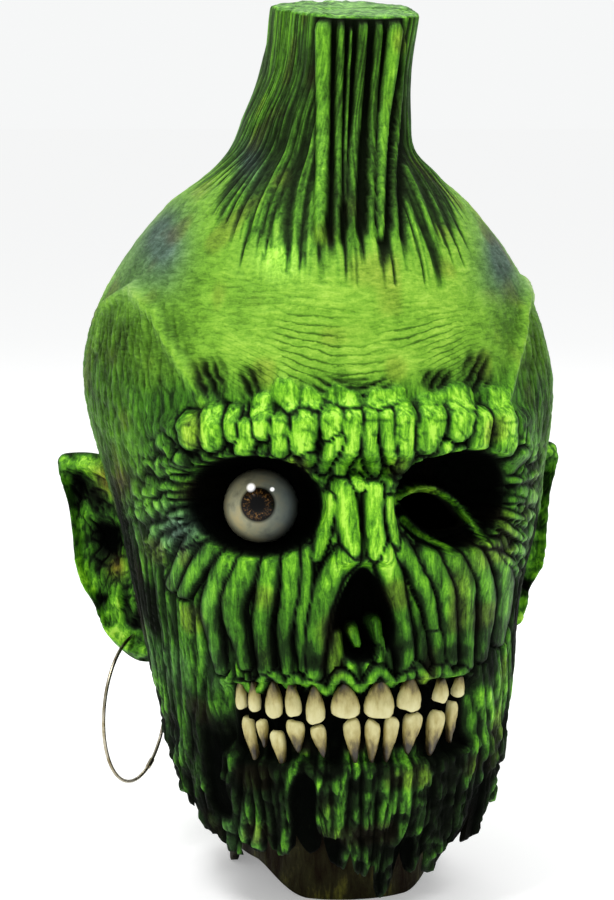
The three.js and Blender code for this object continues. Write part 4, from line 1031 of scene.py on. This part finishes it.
def outer_skin():
    """The painted outside of the cast as a closed mesh, with the values that its paint reads."""
    angles = column_angles()
    rings, paints = [], []

    def add(points, *paint):
        rings.append(points)
        paint += (0,) * (len(PAINT) - len(paint))
        paints.append([np.broadcast_to(value, len(angles)) for value in paint])

    def skin(z, tuck=0):
        level = level_at(z)
        p = form_point(angles, level)
        height, *paint = skin_relief(angles, level, p)
        return p + form_normal(angles, level) * (height - tuck)[:, None], *paint

    for z in row_heights(FACE_GRAIN):
        add(*skin(np.full(len(angles), z)))
    for ring, stubble in crown_rings(rings[0]):
        rings.insert(0, ring)
        paints.insert(0, [stubble, *np.zeros((len(PAINT) - 1, len(angles)))])
    hem_top = SECTIONS[2][0]
    hem = hem_height(angles)
    for share in np.linspace(0, 1, 34)[1:]:
        z = hem_top + share * (hem - hem_top)
        add(*skin(z, SHRED_THICKNESS / 2 * smooth_step(0.93, 1, share)))
    under = underside_height(angles)
    level = level_at(under)
    inner_edge = form_point(angles, level) - form_normal(angles, level) * SHRED_THICKNESS
    hem_edge = rings[-1]
    for share in (0.35, 0.75, 1):
        add(mix(hem_edge, inner_edge, share), 0.02)
    for ring, tone in neck_rings(angles, under):
        add(ring, tone, 0, 0, NECK_STAIN)
    add(neck_point(angles, rim_height(angles), 2 * WALL))
    mesh = closed_mesh("outer_skin", rings, crown_middle(2), np.array([0, 0, NECK_ARCH]))
    for name, values in zip(PAINT, zip(*paints)):
        set_floats(mesh, name, with_ends(values))
    return mesh


def cavity():
    """The inside of the cast, which follows the outside at the wall's thickness without its wrinkles."""
    angles = column_angles(CAVITY_COLUMNS)

    def inside(z):
        level = level_at(z)
        p = form_point(angles, level)
        depth = WALL + np.maximum.reduce(hollows(*np.moveaxis(p, -1, 0), 1.5 * WALL, TOOTH_BITE))
        return p - form_normal(angles, level) * depth[:, None]

    rings = [inside(np.full(len(angles), z)) for z in row_heights(5)]
    rings[0][:, 2] -= WALL
    under = underside_height(angles) + WALL
    rings.append(inside(under))
    rings.append(neck_point(angles, under, WALL))
    rings.append(neck_point(angles, np.full(len(angles), -WALL), WALL))
    return closed_mesh("cavity", rings, crown_middle(-WALL), np.array([0, 0, -WALL]))


def slit():
    """The lens between the lids of the empty socket, from inside the cast to in front of its face."""
    point, across, up, out = seat_on_face(LID_PLACE[0] * HALF_WIDTH, LID_PLACE[1] * SKULL_HEIGHT)
    tilt = math.radians(LID_TILT_DEG)
    u = math.cos(tilt) * across + math.sin(tilt) * up
    v = np.cross(out, u)
    shares = np.linspace(-1, 1, 15)
    lens = [(s, 1 - s * s) for s in shares] + [(s, s * s - 1) for s in shares[-2:0:-1]]
    lens = [(a * LID_HALF_LENGTH, b * (LID_HALF_HEIGHT - SLIT_INSET)) for a, b in lens[::-1]]
    ends = [point + depth * out for depth in (SLIT_FRONT, -SOCKET_DEPTH - 3 * WALL)]
    return closed_mesh("slit", [[end + a * u + b * v for a, b in lens] for end in ends], *ends)


def cut(mesh, tool):
    """What another closed mesh leaves of mesh, as a new mesh."""
    whole = new_object("whole", mesh)
    other = new_object("other", tool)
    modifier = whole.modifiers.new("cut", "BOOLEAN")
    modifier.operation = "DIFFERENCE"
    modifier.solver = "MANIFOLD"
    modifier.object = other
    graph = bpy.context.evaluated_depsgraph_get()
    made = bpy.data.meshes.new_from_object(whole.evaluated_get(graph))
    bpy.data.objects.remove(whole)
    bpy.data.objects.remove(other)
    return made


def mesh_points(mesh):
    flat = np.zeros(len(mesh.vertices) * 3, np.float32)
    mesh.vertices.foreach_get("co", flat)
    return flat.reshape(-1, 3)


def mesh_floats(mesh, name):
    values = np.zeros(len(mesh.vertices), np.float32)
    mesh.attributes[name].data.foreach_get("value", values)
    return values


def paint_from(mesh, sources):
    """Give a cut mesh the paint of the nearest point of the meshes that it was cut from."""
    places = np.concatenate([mesh_points(source) for source in sources])
    tree = KDTree(len(places))
    for i, place in enumerate(places):
        tree.insert(place, i)
    tree.balance()
    nearest = np.array([tree.find(place)[1] for place in mesh_points(mesh)])
    painted = len(sources[0].vertices)
    bare = nearest >= painted
    for name in PAINT:
        values = mesh_floats(sources[0], name)[np.where(bare, 0, nearest)]
        set_floats(mesh, name, np.where(bare, 0, values))
    set_floats(mesh, "bare", bare)
    mesh.shade_smooth()


def latex_shell():
    outer, hollow = outer_skin(), cavity()
    mesh = cut(cut(outer, hollow), slit())
    paint_from(mesh, [outer, hollow])
    return mesh


def smooth_loop(points, count):
    """A smooth closed curve through a few points, as count points."""
    knots = np.array(points, float)
    at = np.linspace(0, len(knots), count, endpoint=False)
    i = np.floor(at).astype(int)
    return between_knots(*(knots[(i + k) % len(knots)] for k in (-1, 0, 1, 2)), (at - i)[:, None])


def ear_relief(u, v, p, share):
    """How far the ear's front stands out at a place across and up it, and the tone of its paint."""
    crumple = rough(p, 9, 133)
    rim = 0.62 * np.exp(-((share - 0.88) / 0.075) ** 2)
    crinkle, pick = cells(u / 4 + 0.5 * crumple, v / 6, 14)
    seam = smooth_step(0, 0.3, crinkle)
    depth = EAR_THICKNESS * (rim - 0.2) + 0.9 * crumple + 0.8 * (seam - 0.5)
    tone = 0.62 + 0.25 * crumple + 0.3 * (seam - 0.8) + 0.1 * pick
    for *place, rise, shade in EAR_FORMS:
        form = blob(u, v, place)
        depth = depth + rise * form
        tone = tone + shade * form
    # Painted shade darkens the ear's inner part, next to the head, low down.
    ear_inner_shade = 0.25 * smooth_step(-4, -16, u) * smooth_step(30, 0, v)
    return depth, tone - ear_inner_shade


def ear(side):
    """An ear with a rolled rim, a hollow bowl and a wrinkled lobe."""
    point, across, out = ear_frame(side)
    outline = smooth_loop(EAR_OUTLINE if side > 0 else EAR_OUTLINE[::-1], EAR_COLUMNS)
    outline = outline * [EAR_WIDTH, EAR_HEIGHT]
    rings, tones, stains = [], [], []

    def add(share, depth=None):
        u, v = (outline * share).T
        p = point + u[:, None] * across + v[:, None] * np.array([0, 0, 1])
        front_depth, tone = ear_relief(u, v, p, share)
        if depth is None:
            depth = front_depth
        else:
            bowl = EAR_BOWL_DEPTH * blob(u, v, EAR_BOWL) * (share < 0.9)
            depth = EAR_THICKNESS * depth - bowl + 0.4 * rough(p, 9, 134)
            # Painted shade: the ear's rolled edge and back are darker than its front.
            tone = tone * 0.6
        rings.append(p + depth[:, None] * out)
        tones.append(tone)
        stains.append(0.7 * sum(blob(u, v, place) for place in EAR_STAINS))

    for share in np.linspace(0.04, 0.965, 36):
        add(share)
    for share, depth in EAR_EDGE:
        add(share, depth)
    for share in np.linspace(0.86, 0.1, 9):
        add(share, -0.78 - 0.35 * (1 - share))
    mesh = closed_mesh("ear", rings, rings[0].mean(0), rings[-1].mean(0))
    nothing = [np.zeros(EAR_COLUMNS)] * len(rings)
    for name in PAINT:
        values = {"tone": tones, "stain": stains}.get(name, nothing)
        set_floats(mesh, name, clamp01(with_ends(values)))
    return mesh


def trimmed_ear(side):
    """An ear cut off inside the cast's wall, so that none of it stands in the hollow."""
    angles = column_angles(CAVITY_COLUMNS)
    rings = []
    for z in np.linspace(0.95, 0.1, 40) * SKULL_HEIGHT:
        level = level_at(np.full(len(angles), z))
        rings.append(form_point(angles, level) - form_normal(angles, level) * WALL * 0.6)
    core = closed_mesh("core", rings, rings[0].mean(0), rings[-1].mean(0))
    whole = ear(side)
    mesh = cut(whole, core)
    paint_from(mesh, [whole])
    return mesh


def eye_axis():
    """The eye's middle, its radius, and its gaze: a little up and to its own right of the camera."""
    low, high = (np.array(corner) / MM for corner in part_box("eyeball"))
    radius = (high[2] - low[2]) / 2
    centre = np.array([(low[0] + high[0]) / 2, low[1] + radius, (low[2] + high[2]) / 2])
    aside, upward, ahead = GAZE
    gaze = TO_CAMERA * ahead - CAMERA_RIGHT * aside + CAMERA_UP * upward
    return centre, radius, gaze / np.linalg.norm(gaze)


def eyeball():
    """A ball with a raised cornea, turned so that its pole is the gaze."""
    centre, radius, gaze = eye_axis()
    side = np.cross([0, 0, 1], gaze)
    side /= np.linalg.norm(side)
    upward = np.cross(gaze, side)
    turns = np.linspace(0, 2 * math.pi, EYE_SIDES, endpoint=False)
    rings = []
    for tilt in np.radians(np.concatenate([np.linspace(1.5, 30, 16), np.linspace(34, 176, 30)])):
        out = radius + CORNEA_RISE * smooth_step(CORNEA_EDGE, 0.4 * CORNEA_EDGE, math.degrees(tilt))
        ring = np.outer(np.cos(turns), side) + np.outer(np.sin(turns), upward)
        rings.append(centre + out * (math.sin(tilt) * ring + math.cos(tilt) * gaze) - ROW_SHIFT)
    ends = (centre + (radius + CORNEA_RISE) * gaze - ROW_SHIFT, centre - radius * gaze - ROW_SHIFT)
    return closed_mesh("eyeball", rings, *ends)


def tooth(row, root_up, seed):
    """A tooth from its biting edge to its root, with a worn edge and faint upright ridges."""
    x, low, high, width, lean = row
    low, high = low * SKULL_HEIGHT, high * SKULL_HEIGHT
    x = MOUTH_PLACE[0] * HALF_WIDTH + x * MOUTH_HALF_WIDTH
    place, across, up, out = seat_on_face(x, (low + high) / 2)
    place = place + out * (TOOTH_THICKNESS / 2 - MOUTH_DEPTH - TOOTH_BITE)
    turn = math.radians(-lean if root_up else lean)
    across = across * math.cos(turn) + up * math.sin(turn)
    up = np.cross(out, across)
    reach = (high - low) / 2
    flip = 1 if root_up else -1
    profile = UPPER_PROFILE if root_up else LOWER_PROFILE
    turns = np.linspace(0, 2 * math.pi, TOOTH_SIDES, endpoint=False)
    rings, stains = [], []
    for along in np.concatenate([np.linspace(0, 0.12, 5), np.linspace(0.18, 1, 14)]):
        half = read_table(profile, along)
        half_width = half * width * MOUTH_HALF_WIDTH / 2
        half_depth = TOOTH_THICKNESS / 2 * (0.45 + 0.55 * half)
        u = half_width * np.sign(np.sin(turns)) * np.abs(np.sin(turns)) ** 0.8
        w = half_depth * np.sign(np.cos(turns)) * np.abs(np.cos(turns)) ** 0.75
        tilted = (1 - along) * 0.07 * (lattice(seed, 1, 1, 3) - 0.5) * 2 * u / max(half_width, 0.1)
        v = flip * reach * (2 * along - 1 + tilted)
        p = place + np.outer(u, across) + np.outer(w, out) + np.outer(v, up)
        swell = 0.35 * noise(p, 2.6, 140 + seed) + 0.2 * noise(p * [1, 1, 0.3], 1.3, 170 + seed)
        p = p + out * swell[:, None]
        p = p + up * (0.5 * (1 - along) ** 4 * noise(p, 3, 200 + seed))[:, None]
        rings.append(p)
        stains.append(np.full(TOOTH_SIDES, along if root_up else 0.22 + 0.9 * along))
    start = place - flip * up * reach * 1.02
    end = place + flip * up * reach * 1.02
    if root_up:
        rings.reverse()
        stains.reverse()
        start, end = end, start
    mesh = closed_mesh("tooth", rings, start, end)
    set_floats(mesh, "stain", with_ends(stains))
    return mesh


def feed(tree, made, inputs):
    """Give a node its inputs, each a value, a colour, another node or one of its outputs."""
    for key, value in inputs.items():
        if isinstance(value, bpy.types.Node):
            value = value.outputs[0]
        if isinstance(value, bpy.types.NodeSocket):
            tree.links.new(value, made.inputs[key])
        else:
            made.inputs[key].default_value = colour(value) if isinstance(value, str) else value


def node(tree, kind, inputs=(), stops=(), **settings):
    """A new node with its inputs, the stops of its ramp and its other settings."""
    made = tree.nodes.new(kind)
    for name, value in settings.items():
        setattr(made, name, value)
    feed(tree, made, dict(inputs))
    for i, (place, code) in enumerate(stops):
        elements = made.color_ramp.elements
        element = elements[i] if i < len(elements) else elements.new(place)
        element.position = place
        element.color = colour(code)
    return made


def hoop():
    """The hoop's wire, swept round a circle, and the small sleeve that closes it."""
    tree = bpy.data.node_groups.new("wire_hoop", "GeometryNodeTree")
    tree.interface.new_socket("Geometry", in_out="OUTPUT", socket_type="NodeSocketGeometry")
    for name in ("Hoop radius", "Wire radius", "Sleeve radius"):
        tree.interface.new_socket(name, in_out="INPUT", socket_type="NodeSocketFloat")
    tree.interface.new_socket("Finish", in_out="INPUT", socket_type="NodeSocketMaterial")
    given = node(tree, "NodeGroupInput").outputs
    ring = node(tree, "GeometryNodeCurvePrimitiveCircle", {
        "Resolution": HOOP_SIDES, "Radius": given["Hoop radius"],
    })
    sleeve = node(tree, "GeometryNodeCurveArc", {
        "Resolution": SLEEVE_POINTS, "Radius": given["Hoop radius"],
        "Start Angle": math.radians(SLEEVE_START_DEG), "Sweep Angle": math.radians(SLEEVE_SWEEP_DEG),
    })
    both = node(tree, "GeometryNodeJoinGeometry")
    for path, radius, capped in ((ring, "Wire radius", False), (sleeve, "Sleeve radius", True)):
        round_wire = node(tree, "GeometryNodeCurvePrimitiveCircle", {
            "Resolution": WIRE_SIDES, "Radius": given[radius],
        })
        tube = node(tree, "GeometryNodeCurveToMesh", {
            "Curve": path, "Profile Curve": round_wire, "Fill Caps": capped,
        })
        feed(tree, both, {0: tube})
    whole = node(tree, "GeometryNodeRealizeInstances", {"Geometry": both})
    smooth = node(tree, "GeometryNodeSetShadeSmooth", {"Geometry": whole})
    finish = node(tree, "GeometryNodeSetMaterial", {"Geometry": smooth, "Material": given["Finish"]})
    node(tree, "NodeGroupOutput", {"Geometry": finish})
    holder = new_object("holder", bpy.data.meshes.new("holder"))
    modifier = holder.modifiers.new("hoop", "NODES")
    modifier.node_group = tree
    sizes = {"Hoop radius": HOOP_DIAMETER / 2, "Wire radius": HOOP_WIRE / 2, "Sleeve radius": HOOP_SLEEVE / 2}
    for item in tree.interface.items_tree:
        if item.in_out == "INPUT":
            modifier[item.identifier] = sizes[item.name] * MM if item.name in sizes else hoop_wire()
    graph = bpy.context.evaluated_depsgraph_get()
    mesh = bpy.data.meshes.new_from_object(holder.evaluated_get(graph))
    bpy.data.objects.remove(holder)
    middle = lobe_hole() - [0, 0, HOOP_DIAMETER / 2] + ROW_SHIFT
    stand = Matrix.Rotation(math.radians(90 - EAR_FLARE_DEG), 4, "Z") @ Matrix.Rotation(math.pi / 2, 4, "X")
    mesh.transform(Matrix.Translation(Vector(middle * MM)) @ stand)
    return mesh


def colour(code):
    """An sRGB hex value as linear red, green, blue and alpha."""
    parts = [int(code[i:i + 2], 16) / 255 for i in (1, 3, 5)]
    return tuple(c / 12.92 if c <= 0.04045 else ((c + 0.055) / 1.055) ** 2.4 for c in parts) + (1,)


def new_material(name, **sockets):
    """A material with its main shader's own sockets set."""
    made = bpy.data.materials.new(name)
    made.use_nodes = True
    tree = made.node_tree
    tree.nodes.clear()
    settings = {key.replace("_", " "): value for key, value in sockets.items()}
    shader = node(tree, "ShaderNodeBsdfPrincipled", settings)
    node(tree, "ShaderNodeOutputMaterial", {"Surface": shader})
    return made, tree, shader


def painted_latex():
    """Slush-cast latex, airbrushed and dry-brushed: its rubber paint is satin on crests, dull in creases."""
    material, tree, shader = new_material("painted_latex", IOR=1.5)
    tone, bald, cool, stain, lines, sag, bare = (
        node(tree, "ShaderNodeAttribute", attribute_name=name).outputs["Fac"] for name in (*PAINT, "bare")
    )
    place = node(tree, "ShaderNodeTexCoord").outputs["Object"]
    hanging = node(tree, "ShaderNodeMapping", {"Vector": place, "Scale": (1, 1, 0.25)})
    blotch = node(tree, "ShaderNodeTexNoise", {
        "Vector": place, "Scale": 1 / (14 * MM), "Detail": 5, "Roughness": 0.6,
    })
    streak = node(tree, "ShaderNodeTexNoise", {
        "Vector": hanging, "Scale": 1 / (2.6 * MM), "Detail": 6, "Roughness": 0.65, "Distortion": 0.4,
    })
    speck = node(tree, "ShaderNodeTexNoise", {
        "Vector": place, "Scale": 1 / (1.1 * MM), "Detail": 4, "Roughness": 0.7,
    })
    # The dry brush leaves out parts of the crests and never reaches the creases. Its streaks hang down, but
    # on the bald skin they are short and slanted.
    slanted = node(tree, "ShaderNodeMapping", {
        "Vector": place, "Rotation": (0, math.radians(-28), 0), "Scale": (0.3, 0.3, 1),
    })
    hatch = node(tree, "ShaderNodeTexNoise", {
        "Vector": slanted, "Scale": 1 / (1.5 * MM), "Detail": 6, "Roughness": 0.65, "Distortion": 0.5,
    })
    sharp = node(tree, "ShaderNodeMath", {0: streak, 1: 1.9, 2: -0.45}, operation="MULTIPLY_ADD")
    grain = node(tree, "ShaderNodeMix", {0: bald, 2: sharp, 3: hatch}, data_type="FLOAT")
    brush = node(tree, "ShaderNodeMath", {0: speck, 1: 0.4, 2: grain}, operation="MULTIPLY_ADD")
    brush = node(tree, "ShaderNodeMath", {0: blotch, 1: 0.5, 2: brush}, operation="MULTIPLY_ADD")
    brush = node(tree, "ShaderNodeMath", {0: brush, 1: 0.1}, operation="SUBTRACT")
    brushed = node(tree, "ShaderNodeMath", {0: tone, 1: brush}, operation="MULTIPLY")
    # Fine dark lines across the forehead, each as wavy as the hatching.
    wavy = node(tree, "ShaderNodeMath", {0: hatch, 1: 0.9, 2: sag}, operation="MULTIPLY_ADD")
    between = node(tree, "ShaderNodeMath", {0: wavy, 1: 0.5}, operation="PINGPONG")
    line = node(tree, "ShaderNodeMapRange", {"Value": between, "From Max": 0.2, "To Min": 0.5, "To Max": 0})
    line = node(tree, "ShaderNodeMath", {0: line, 1: lines}, operation="MULTIPLY")
    kept = node(tree, "ShaderNodeMath", {0: 1, 1: line}, operation="SUBTRACT")
    brushed = node(tree, "ShaderNodeMath", {0: brushed, 1: kept}, operation="MULTIPLY")
    paint = node(tree, "ShaderNodeValToRGB", {"Fac": brushed}, [
        (0, "#010201"), (0.14, "#050c02"), (0.32, "#163207"), (0.52, "#3a740e"), (0.7, "#60a614"),
        (0.86, "#88cf24"), (1, "#b0ea44"),
    ])
    layers = (
        (bald, [
            (0, "#060a03"), (0.2, "#1f3209"), (0.4, "#487416"), (0.58, "#72a828"), (0.76, "#96c63c"),
            (1, "#bfe062"),
        ]),
        (cool, [(0, "#040605"), (0.3, "#1d2c22"), (0.5, "#405a48"), (0.7, "#668472"), (1, "#9cb4ac")]),
        (stain, [(0, "#080402"), (0.3, "#2c1808"), (0.6, "#7a5418"), (1, "#c09a3c")]),
        (bare, [(0, "#26241c"), (1, "#26241c")]),
    )
    for amount, stops in layers:
        layer = node(tree, "ShaderNodeValToRGB", {"Fac": brushed}, stops)
        paint = node(tree, "ShaderNodeMix", {0: amount, 6: paint, 7: layer}, data_type="RGBA").outputs[2]
    dullness = node(tree, "ShaderNodeMapRange", {"Value": brushed, "To Min": 0.7, "To Max": 0.38})
    sheen = node(tree, "ShaderNodeMapRange", {"Value": brushed, "To Min": 0.01, "To Max": 0.32})
    fine = node(tree, "ShaderNodeMath", {0: speck, 1: 0.5, 2: grain}, operation="MULTIPLY_ADD")
    bump = node(tree, "ShaderNodeBump", {"Height": fine, "Strength": 0.8, "Distance": 0.55 * MM})
    feed(tree, shader, {
        "Base Color": paint, "Roughness": dullness, "Specular IOR Level": sheen, "Normal": bump,
    })
    return material


def cast_teeth():
    """Cast resin teeth, painted bone and washed with brown towards their roots."""
    material, tree, shader = new_material("cast_teeth", IOR=1.54, Roughness=0.42)
    stain = node(tree, "ShaderNodeAttribute", attribute_name="stain").outputs["Fac"]
    place = node(tree, "ShaderNodeTexCoord").outputs["Object"]
    hanging = node(tree, "ShaderNodeMapping", {"Vector": place, "Scale": (1, 1, 0.4)})
    mottle = node(tree, "ShaderNodeTexNoise", {
        "Vector": hanging, "Scale": 1 / (2.8 * MM), "Detail": 5, "Roughness": 0.6,
    })
    ridge = node(tree, "ShaderNodeTexNoise", {"Vector": hanging, "Scale": 1 / (1.0 * MM), "Detail": 4})
    brown = node(tree, "ShaderNodeMath", {0: mottle, 1: 1.0, 2: stain}, operation="MULTIPLY_ADD")
    brown = node(tree, "ShaderNodeMath", {0: brown, 1: 0.5}, operation="SUBTRACT")
    bone = node(tree, "ShaderNodeValToRGB", {"Fac": brown}, [
        (0, "#d3cd98"), (0.3, "#c6be84"), (0.55, "#a99c5c"), (0.75, "#6f6232"), (0.95, "#2a2110"),
    ])
    bump = node(tree, "ShaderNodeBump", {"Height": ridge, "Strength": 0.6, "Distance": 0.4 * MM})
    feed(tree, shader, {"Base Color": bone, "Normal": bump})
    return material


def painted_eye():
    """A painted eye under clear gloss resin: a dark flecked iris in a dull cream ball, with painted shade
    that makes it greyer on one side and darker at its rim.
    """
    material, tree, shader = new_material(
        "painted_eye", IOR=1.5, Roughness=0.4, Emission_Color="#ffffff", Specular_IOR_Level=0.1,
        Coat_Weight=0.1, Coat_Roughness=0.03,
    )
    centre, _, gaze = eye_axis()
    place = node(tree, "ShaderNodeTexCoord").outputs["Object"]
    local = node(tree, "ShaderNodeMapping", {
        "Vector": place, "Location": centre * MM, "Rotation": Vector(gaze).to_track_quat("Z", "Y").to_euler(),
        "Scale": (MM, MM, MM),
    }, vector_type="TEXTURE")
    split = node(tree, "ShaderNodeSeparateXYZ", {"Vector": local}).outputs
    flat = node(tree, "ShaderNodeCombineXYZ", {"X": split["X"], "Y": split["Y"]})
    off = node(tree, "ShaderNodeVectorMath", {0: flat}, operation="LENGTH").outputs["Value"]
    around = node(tree, "ShaderNodeVectorMath", {0: flat}, operation="NORMALIZE")
    inward = node(tree, "ShaderNodeCombineXYZ", {"Z": off})
    spokes = node(tree, "ShaderNodeVectorMath", {
        0: around, 1: (7, 7, 0), 2: inward,
    }, operation="MULTIPLY_ADD")
    fleck = node(tree, "ShaderNodeTexNoise", {"Vector": spokes, "Scale": 0.9, "Detail": 3, "Roughness": 0.7})
    iris = node(tree, "ShaderNodeValToRGB", {"Fac": fleck}, [
        (0.42, "#040302"), (0.5, "#171009"), (0.57, "#402a12"), (0.68, "#8a6432"),
    ])
    mottle = node(tree, "ShaderNodeTexNoise", {
        "Vector": place, "Scale": 1 / (6 * MM), "Detail": 5, "Roughness": 0.6,
    })
    ball = node(tree, "ShaderNodeValToRGB", {"Fac": mottle}, [
        (0.3, "#76755f"), (0.5, "#98977a"), (0.7, "#aa9e74"),
    ])
    # Painted shade: the ball greys towards one side and darkens towards its rim.
    painted_shading = (
        (split["X"], -5, 12, 0.75, "#5c6c72"),
        (off, 12, 15.6, 0.85, "#1c1b14"),
    )
    for value, start, end, most, shade_colour in painted_shading:
        much = node(tree, "ShaderNodeMapRange", {
            "Value": value, "From Min": start, "From Max": end, "To Max": most,
        })
        ball = node(tree, "ShaderNodeMix", {0: much, 6: ball, 7: shade_colour}, data_type="RGBA").outputs[2]
    rings = (
        (PUPIL_RADIUS - 0.3, PUPIL_RADIUS + 0.6, "#010101", iris),
        (IRIS_RADIUS - 1.5, IRIS_RADIUS - 0.3, None, "#070504"),
        (IRIS_RADIUS - 0.3, IRIS_RADIUS + 0.9, None, ball),
    )
    paint = None
    for start, end, first, second in rings:
        much = node(tree, "ShaderNodeMapRange", {"Value": off, "From Min": start, "From Max": end})
        under = first or paint
        paint = node(tree, "ShaderNodeMix", {0: much, 6: under, 7: second}, data_type="RGBA").outputs[2]
    # The brow keeps the lamps' own reflections off the ball, so two soft highlights shine by themselves.
    glow = None
    for glint_x, glint_y, wide in GLINTS:
        apart = node(tree, "ShaderNodeVectorMath", {0: flat, 1: (glint_x, glint_y, 0)}, operation="DISTANCE")
        spot = node(tree, "ShaderNodeMapRange", {
            "Value": apart.outputs["Value"], "From Min": wide, "From Max": 0.5 * wide,
        })
        glow = node(tree, "ShaderNodeMath", {0: spot, 1: glow}, operation="ADD") if glow else spot
    feed(tree, shader, {"Base Color": paint, "Emission Strength": glow})
    return material


def hoop_wire():
    """Drawn steel wire with a thin warm tarnish."""
    material, tree, shader = new_material("drawn_wire", Metallic=1.0)
    place = node(tree, "ShaderNodeTexCoord").outputs["Object"]
    mottle = node(tree, "ShaderNodeTexNoise", {"Vector": place, "Scale": 1 / (5 * MM), "Detail": 4})
    steel = node(tree, "ShaderNodeValToRGB", {"Fac": mottle}, [
        (0.3, "#7f7250"), (0.5, "#a89f88"), (0.7, "#c4bdac"),
    ])
    worn = node(tree, "ShaderNodeMapRange", {"Value": mottle, "To Min": 0.15, "To Max": 0.4})
    feed(tree, shader, {"Base Color": steel, "Roughness": worn})
    return material


def piece(name, mesh, material, slot, body, *nodes):
    """A finished piece: its material, the body it rides on and the nodes that it stands for. Its slot is not
    used.
    """
    made = new_object(name, mesh)
    mesh.materials.clear()
    mesh.materials.append(material)
    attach(made, body)
    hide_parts(*nodes)


def photo_camera():
    data = bpy.data.cameras.new("photo_camera")
    data.sensor_width = 36
    data.lens = data.sensor_width * FOCAL_PIXELS / PHOTO_HEIGHT
    data.clip_start, data.clip_end = 0.05, 50
    camera = new_object("photo_camera", data)
    camera.location = Vector((LOOK_AT + ROW_SHIFT + CAMERA_DISTANCE * TO_CAMERA) * MM)
    camera.rotation_euler = (-Vector(TO_CAMERA)).to_track_quat("-Z", "Y").to_euler()
    bpy.context.scene.camera = camera


def studio():
    """A plain pale floor under soft lights."""
    bpy.ops.mesh.primitive_circle_add(vertices=96, radius=FLOOR_RADIUS, fill_type="NGON", location=(0, 0, 0))
    floor = bpy.context.object
    floor.name = "floor"
    material, _, _ = new_material(
        "pale_floor", Base_Color="#ffffff", Roughness=0.9, Specular_IOR_Level=0.0, Emission_Color="#ffffff",
        Emission_Strength=FLOOR_GLOW,
    )
    floor.data.materials.append(material)
    world = bpy.data.worlds.new("studio")
    bpy.context.scene.world = world
    world.use_nodes = True
    background = world.node_tree.nodes["Background"]
    # The camera sees a white sky, and a dimmer one lights the mask.
    seen = node(world.node_tree, "ShaderNodeLightPath").outputs["Is Camera Ray"]
    strength = node(world.node_tree, "ShaderNodeMapRange", {
        "Value": seen, "To Min": SKY_LIGHT, "To Max": SKY_SEEN,
    })
    feed(world.node_tree, background, {"Color": "#f4f5f5", "Strength": strength})
    for name, azimuth, elevation, distance, size, power in LIGHTS:
        a, e = math.radians(azimuth), math.radians(elevation)
        back = Vector((math.sin(a) * math.cos(e), -math.cos(a) * math.cos(e), math.sin(e)))
        data = bpy.data.lights.new(name, "AREA")
        data.size = size
        data.energy = power
        light = new_object(name, data)
        light.location = Vector(LIGHTS_MIDDLE) + back * distance
        light.rotation_euler = (-back).to_track_quat("-Z", "Y").to_euler()
    bpy.context.scene.view_settings.view_transform = "Standard"


photo_camera()
studio()
latex = painted_latex()
piece("painted_skin", latex_shell(), latex, "latex", "mask", "latex_shell")
piece("right_ear", trimmed_ear(-1), latex, "latex", "mask", "latex_shell")
piece("left_ear", trimmed_ear(1), latex, "latex", "mask", "latex_shell")
piece("glossy_eye", eyeball(), painted_eye(), "eye", "mask", "eyeball")
bone = cast_teeth()
for jaw, teeth, root_up in (("upper", UPPER_TEETH, True), ("lower", LOWER_TEETH, False)):
    for i, row in enumerate(teeth, 1):
        mesh = tooth(row, root_up, i + (0 if root_up else 20))
        piece(f"{jaw}_tooth_{i}", mesh, bone, "teeth", "mask", f"tooth_{jaw}_{i}")
piece("wire_hoop", hoop(), hoop_wire(), "hoop_wire", "hoop", "ear_hoop")
